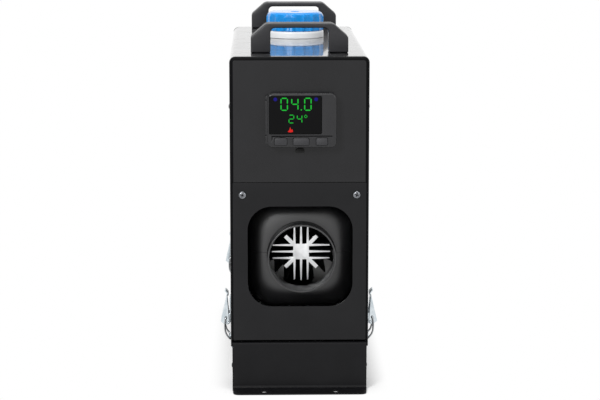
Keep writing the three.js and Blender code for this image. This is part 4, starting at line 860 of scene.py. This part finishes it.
def controller_face():
    """The bezel, with its groove painted shadow black."""
    bm = copied("controller_bezel", 0.12, 2, 50, cleared=False)
    groove_z, front = CONTROLLER["z"] + CONTROLLER["groove"], CONTROLLER["front"]
    # The groove's flanks and bottom get the painted shade.
    for face in bm.faces:
        middle = face.calc_center_median()
        away, inward = abs(middle.z - groove_z), middle.y - front
        flank = away < 0.6 and inward > 0.15 and abs(face.normal.z) > 0.5
        bottom = away < 0.45 and abs(inward - CONTROLLER["groove_depth"]) < 0.1
        if flank or bottom:
            face.material_index = 1
    finished(
        bm, "controller_face", "black_plastic", nodes=["controller_bezel"], smooth=25,
        second=GROOVE_SHADE_LOOK,
    )


eased("controller_case", "controller_shell", "black_plastic", 0.4, 3, smooth=25)
controller_face()
eased("display_module", "display_pane", "display_glass", 0.2)
for key in ("left", "middle", "right"):
    button = f"button_{key}"
    eased(button, f"key_{key}", "black_plastic", 0.3, body=button, look=KEY_LOOK)
eased("cable_grommet", "lead_grommet", "rubber", 0.3)

# The lit parts' front and back, both just in front of the pane.
PANE_FRONT = CONTROLLER["front"] + 0.4
LIT_FRONT, LIT_BACK = PANE_FRONT - 0.09, PANE_FRONT - 0.02
BARS = {  # bars of a seven-bar digit, in half widths and half heights, and whether they lie flat
    "a": (0, 1, True), "b": (1, 0.5, False), "c": (1, -0.5, False), "d": (0, -1, True),
    "e": (-1, -0.5, False), "f": (-1, 0.5, False), "g": (0, 0, True),
}
DIGITS = {"0": "abcdef", "2": "abged", "4": "fgbc"}
FIGURES = (  # each row's bottom, top and stroke, and its digits with their left and right ends
    (309.0, 323.0, 1.25, (("0", -20.6, -12.6), ("4", -9.2, -1.4), ("0", 4.5, 12.5))),
    (295.6, 304.9, 0.9, (("2", -12.0, -6.0), ("4", -3.2, 2.6))),
)
POINT = {"x": 1.5, "z": 310.0, "size": 1.6}
DEGREE = {"x": 6.2, "z": 303.0, "half": 1.3, "bar": 1.9, "stroke": 0.7}
DOTS = {"radius": 2.0, "z": 321.2, "x": (-26.0, 17.2)}


def lit_bar(bm, x, z, length, stroke, flat):
    """One lit bar with pointed ends, just proud of the pane."""
    half_x, half_z = (length / 2, stroke / 2) if flat else (stroke / 2, length / 2)
    verts = block(bm, (x - half_x, LIT_FRONT, z - half_z), (x + half_x, LIT_BACK, z + half_z))
    edges = {e for v in verts for e in v.link_edges}
    corners = [e for e in edges if abs(e.verts[0].co.y - e.verts[1].co.y) > NEAR]
    rounded(bm, corners, stroke * 0.46, 1)


def digit(bm, value, left, right, bottom, top, stroke):
    half_w, half_h = (right - left - stroke) / 2, (top - bottom - stroke) / 2
    middle_x, middle_z = (left + right) / 2, (bottom + top) / 2
    for bar in DIGITS[value]:
        u, v, flat = BARS[bar]
        length = (2 * half_w if flat else half_h) - 0.9 * stroke
        lit_bar(bm, middle_x + u * half_w, middle_z + v * half_h, length, stroke, flat)


def display_figures():
    """Two rows of green digits with a point and a degree sign, a red heat mark, two blue dots."""
    green = bmesh.new()
    for bottom, top, stroke, digits in FIGURES:
        for value, left, right in digits:
            digit(green, value, left, right, bottom, top, stroke)
    lit_bar(green, POINT["x"], POINT["z"], POINT["size"], POINT["size"], True)
    for u, v, flat in ((0, 1, True), (0, -1, True), (1, 0, False), (-1, 0, False)):
        x, z = DEGREE["x"] + DEGREE["half"] * u, DEGREE["z"] + DEGREE["half"] * v
        lit_bar(green, x, z, DEGREE["bar"], DEGREE["stroke"], flat)
    finished(green, "display_digits", "display_glass", look=GREEN_LOOK)
    flame = bmesh.new()
    corners = [(-13.1, 286.6), (-10.1, 285.7), (-7.1, 286.6), (-8.0, 289.6), (-9.1, 288.6)]
    corners += [(-10.3, 291.8), (-11.3, 288.4)]
    loop(flame, corners, {0: 0.6, 1: 1.2, 2: 0.6}, steps=4)
    filled(flame, LIT_BACK - LIT_FRONT, ON_FRONT, LIT_FRONT)
    finished(flame, "display_heat_mark", "display_glass", look=RED_LOOK)
    dots = bmesh.new()
    for x in DOTS["x"]:
        ring(dots, DOTS["radius"], x, DOTS["z"], 24)
    filled(dots, LIT_BACK - LIT_FRONT, ON_FRONT, LIT_FRONT)
    finished(dots, "display_blue_dots", "display_glass", look=BLUE_LOOK)


display_figures()

# ------------------------------------------------------------------ draw latches


def tube(points, radius):
    """A round wire through the points, as a mesh in millimetres."""
    curve = bpy.data.curves.new("wire", "CURVE")
    curve.dimensions = "3D"
    curve.bevel_depth, curve.bevel_resolution, curve.resolution_u = radius, 3, 6
    curve.use_fill_caps = True
    spline = curve.splines.new("BEZIER")
    spline.bezier_points.add(len(points) - 1)
    for point, place in zip(spline.bezier_points, points):
        point.co = place
        point.handle_left_type = point.handle_right_type = "AUTO"
    holder = bpy.data.objects.new("wire", curve)
    bpy.context.scene.collection.objects.link(holder)
    bpy.context.view_layer.update()
    bm = bmesh.new()
    bm.from_mesh(holder.evaluated_get(bpy.context.evaluated_depsgraph_get()).to_mesh())
    bpy.data.objects.remove(holder)
    bpy.data.curves.remove(curve)
    bmesh.ops.remove_doubles(bm, verts=bm.verts, dist=1e-3)
    bmesh.ops.recalc_face_normals(bm, faces=bm.faces)
    return bm


def wire_points():
    """The wire on the +X side: u out from the wall, v along it, z the height."""
    out, height, arm, hook = 5.6, 74.9, 11.8, 50.6
    side = [
        (out, 8.3, height), (out, 10.0, height), (out + 0.15, arm - 0.15, height - 0.6),
        (out + 0.6, arm, height - 3), (out + 1.2, arm, height - 10), (out - 0.2, arm, height - 18),
        (1.6, arm - 0.3, hook + 1), (1.0, arm - 2, hook),
    ]
    far = [(u, -v, z) for u, v, z in reversed(side)]
    return side + [(1.0, 0.0, hook)] + far


def draw_latch(place, side, end):
    """One latch: its base and catch on the case, its lever, and the wire that the lever pulls."""
    for part, edge, angle in (("base", 0.18, 50), ("catch", 0.18, 40), ("lever", 0.16, 50)):
        body = f"lever_{place}" if part == "lever" else BODY
        name, node = f"clip_{part}_{place}", f"latch_{part}_{place}"
        eased(node, name, "zinc_plate", edge, angle=angle, body=body)
    spot = Matrix.Translation((side * WALL_X, end * LATCH_Y, 0))
    if side < 0:
        spot = spot @ Matrix.Rotation(math.pi, 4, "Z")
    wire = tube(wire_points(), 1.0)
    wire.transform(spot)
    name, node = f"clip_wire_{place}", f"latch_bail_{place}"
    finished(wire, name, "bright_steel", body=f"bail_{place}", nodes=[node])


for side_name, side in SIDES:
    for end_name, end in ENDS:
        draw_latch(f"{end_name}_{side_name}", side, end)

# ------------------------------------------------------------------ rear fittings


def intake_grille():
    """A flanged tube with two rings and six spokes across its mouth."""
    outer, bore, flange = GRILLE["outer"], GRILLE["bore"], GRILLE["flange"]
    face, back, half = GRILLE["face"], GRILLE["back"], GRILLE["bar"] / 2
    seat, inner_end, rings = END_Y + GAP, CASING_ENDS["rear"] + GAP, (16.0, 30.0)
    wall = [(bore, inner_end), (bore, face - 0.4), (bore + 0.4, face), (flange - 1.0, face)]
    wall += [(flange - 0.3, face - 0.3), (flange, face - 1.0), (flange, seat), (outer, seat)]
    wall += [(outer, inner_end)]
    parts = [turned(wall, 96, ALONG_Y)]
    for radius in rings:
        low, high = radius - half, radius + half
        bar = [(low, back), (high, back), (high, face - 0.4), (high - 0.4, face)]
        bar += [(low + 0.4, face), (low, face - 0.4)]
        parts.append(turned(bar, 72, ALONG_Y))
    for index in range(6):
        spoke = bmesh.new()
        block(spoke, (rings[0], back, -half), (bore + 0.7, face, half))
        soften(spoke, 0.35, 2)
        bmesh.ops.rotate(
            spoke, verts=spoke.verts, cent=(0, 0, 0), matrix=Matrix.Rotation(FULL * index / 6, 3, "Y")
        )
        parts.append(spoke)
    bm = merged(*parts)
    bmesh.ops.translate(bm, verts=bm.verts, vec=(DUCT_X, 0, DUCT_Z))
    finished(bm, "intake_guard", "black_plastic", nodes=["intake_grille"])


intake_grille()
eased("cable_gland", "lead_gland", "black_plastic", 0.3, angle=40)

# ------------------------------------------------------------------ kept CAD nodes

KEPT = {
    "bright_steel": ["heater_stand", "tank_shelf", "fan_motor", "rotor_shaft", "glow_plug",
                     "burner_chamber", "exhaust_pipe", "fuel_pump"],
    "cast_aluminium": ["blower_housing", "burner_fan"],
    "black_plastic": ["air_fan", "control_unit"],
    "rubber": ["mount_gasket", "cap_seal", "pump_clip"],
    "tank_plastic": ["fuel_tank", "fuel_filter"],
    "fuel_hose": ["suction_hose", "pump_hose", "delivery_hose"],
}
for slot_name, names in KEPT.items():
    for node_name in names:
        mesh = NODES[node_name].data
        mesh.materials.clear()
        mesh.materials.append(LOOKS[slot_name])

# ------------------------------------------------------------------ floor, light and camera

# In metres, but for `lift`, the glow that brings the paper's own tone nearer to the white behind.
FLOOR = {"radius": 3.0, "below": 0.0003, "fade": 0.028, "lift": 0.2}


def seen_directly(tree):
    """1 where a ray comes from the camera, a reflection or a clear piece, else 0."""
    path = add(tree, "ShaderNodeLightPath").outputs
    first = add(
        tree, "ShaderNodeMath", {0: path["Is Camera Ray"], 1: path["Is Glossy Ray"]}, operation="MAXIMUM"
    )
    return add(
        tree, "ShaderNodeMath", {0: first.outputs[0], 1: path["Is Transmission Ray"]}, operation="MAXIMUM"
    ).outputs[0]


def studio_world(level):
    world = bpy.data.worlds.new("studio")
    bpy.context.scene.world = world
    world.use_nodes = True
    tree = world.node_tree
    tree.nodes.clear()
    white = (1.0, 1.0, 1.0, 1.0)
    soft = add(tree, "ShaderNodeBackground", {"Color": white, "Strength": level})
    plain = add(tree, "ShaderNodeBackground", {"Color": white, "Strength": 1.0})
    mix = add(
        tree, "ShaderNodeMixShader", {0: seen_directly(tree), 1: soft.outputs[0], 2: plain.outputs[0]}
    )
    add(tree, "ShaderNodeOutputWorld", {"Surface": mix.outputs[0]})


def studio_floor():
    """A pale floor that keeps the shadow at the foot and fades into the white behind."""
    look = bpy.data.materials.new("floor_paper")
    look.use_nodes = True
    tree = look.node_tree
    tree.nodes.clear()
    place = add(tree, "ShaderNodeTexCoord").outputs["Object"]
    half = (TRAY["x"] * MM, TRAY["end"] * MM, 1.0)
    out = add(tree, "ShaderNodeVectorMath", {0: place}, operation="ABSOLUTE").outputs["Vector"]
    out = add(tree, "ShaderNodeVectorMath", {0: out, 1: half}, operation="SUBTRACT").outputs["Vector"]
    out = add(tree, "ShaderNodeVectorMath", {0: out, 1: (0, 0, 0)}, operation="MAXIMUM").outputs["Vector"]
    away = add(tree, "ShaderNodeVectorMath", {0: out}, operation="LENGTH").outputs["Value"]
    fade = add(
        tree, "ShaderNodeMapRange", {"Value": away, "From Min": 0.0, "From Max": FLOOR["fade"]},
        interpolation_type="SMOOTHSTEP",
    )
    seen = seen_directly(tree)
    share = add(tree, "ShaderNodeMath", {0: seen, 1: fade.outputs[0]}, operation="MULTIPLY")
    lift = add(tree, "ShaderNodeMath", {0: seen, 1: FLOOR["lift"]}, operation="MULTIPLY")
    paper = add(tree, "ShaderNodeBsdfDiffuse", {"Color": (0.8, 0.8, 0.8, 1.0)})
    lifted = add(tree, "ShaderNodeEmission", {"Color": (1, 1, 1, 1), "Strength": lift.outputs[0]})
    near = add(tree, "ShaderNodeAddShader", {0: paper.outputs[0], 1: lifted.outputs[0]})
    white = add(tree, "ShaderNodeEmission", {"Color": (1, 1, 1, 1), "Strength": 1.0})
    mix = add(
        tree, "ShaderNodeMixShader", {0: share.outputs[0], 1: near.outputs[0], 2: white.outputs[0]}
    )
    add(tree, "ShaderNodeOutputMaterial", {"Surface": mix.outputs[0]})
    bm = bmesh.new()
    bmesh.ops.create_circle(bm, cap_ends=True, radius=FLOOR["radius"], segments=64)
    bmesh.ops.translate(bm, verts=bm.verts, vec=(0, 0, -FLOOR["below"]))
    mesh = bpy.data.meshes.new("floor")
    bm.to_mesh(mesh)
    bm.free()
    mesh.materials.append(look)
    floor = bpy.data.objects.new("floor", mesh)
    bpy.context.scene.collection.objects.link(floor)


def softbox(name, place, target, width, height, power):
    lamp = bpy.data.lights.new(name, "AREA")
    lamp.shape = "RECTANGLE"
    lamp.size, lamp.size_y, lamp.energy = width, height, power
    holder = bpy.data.objects.new(name, lamp)
    holder.location = place
    aim = Vector(target) - Vector(place)
    holder.rotation_euler = aim.to_track_quat("-Z", "Y").to_euler()
    bpy.context.scene.collection.objects.link(holder)


studio_world(0.45)
studio_floor()
softbox("key_upper_left", (-0.95, -1.9, 1.3), (0, -0.1, 0.22), 0.6, 0.6, 32)
softbox("fill_right", (1.5, -1.5, 1.1), (0, -0.1, 0.2), 1.0, 1.0, 6)
softbox("top", (0, 0.2, 2.2), (0, 0, 0.3), 1.4, 1.4, 22)

CAMERA = {"place": (-0.0438, -2.190, 0.5586), "yaw": 1.274, "pitch": -9.921, "lens": 112.58}
camera_data = bpy.data.cameras.new("camera")
camera_data.lens = CAMERA["lens"]
camera_data.sensor_width = 36.0
camera_data.clip_start, camera_data.clip_end = 0.05, 30.0
camera = bpy.data.objects.new("camera", camera_data)
camera.location = CAMERA["place"]
camera.rotation_euler = (RIGHT + math.radians(CAMERA["pitch"]), 0, -math.radians(CAMERA["yaw"]))
bpy.context.scene.collection.objects.link(camera)
bpy.context.scene.camera = camera
bpy.context.scene.view_settings.view_transform = "Standard"
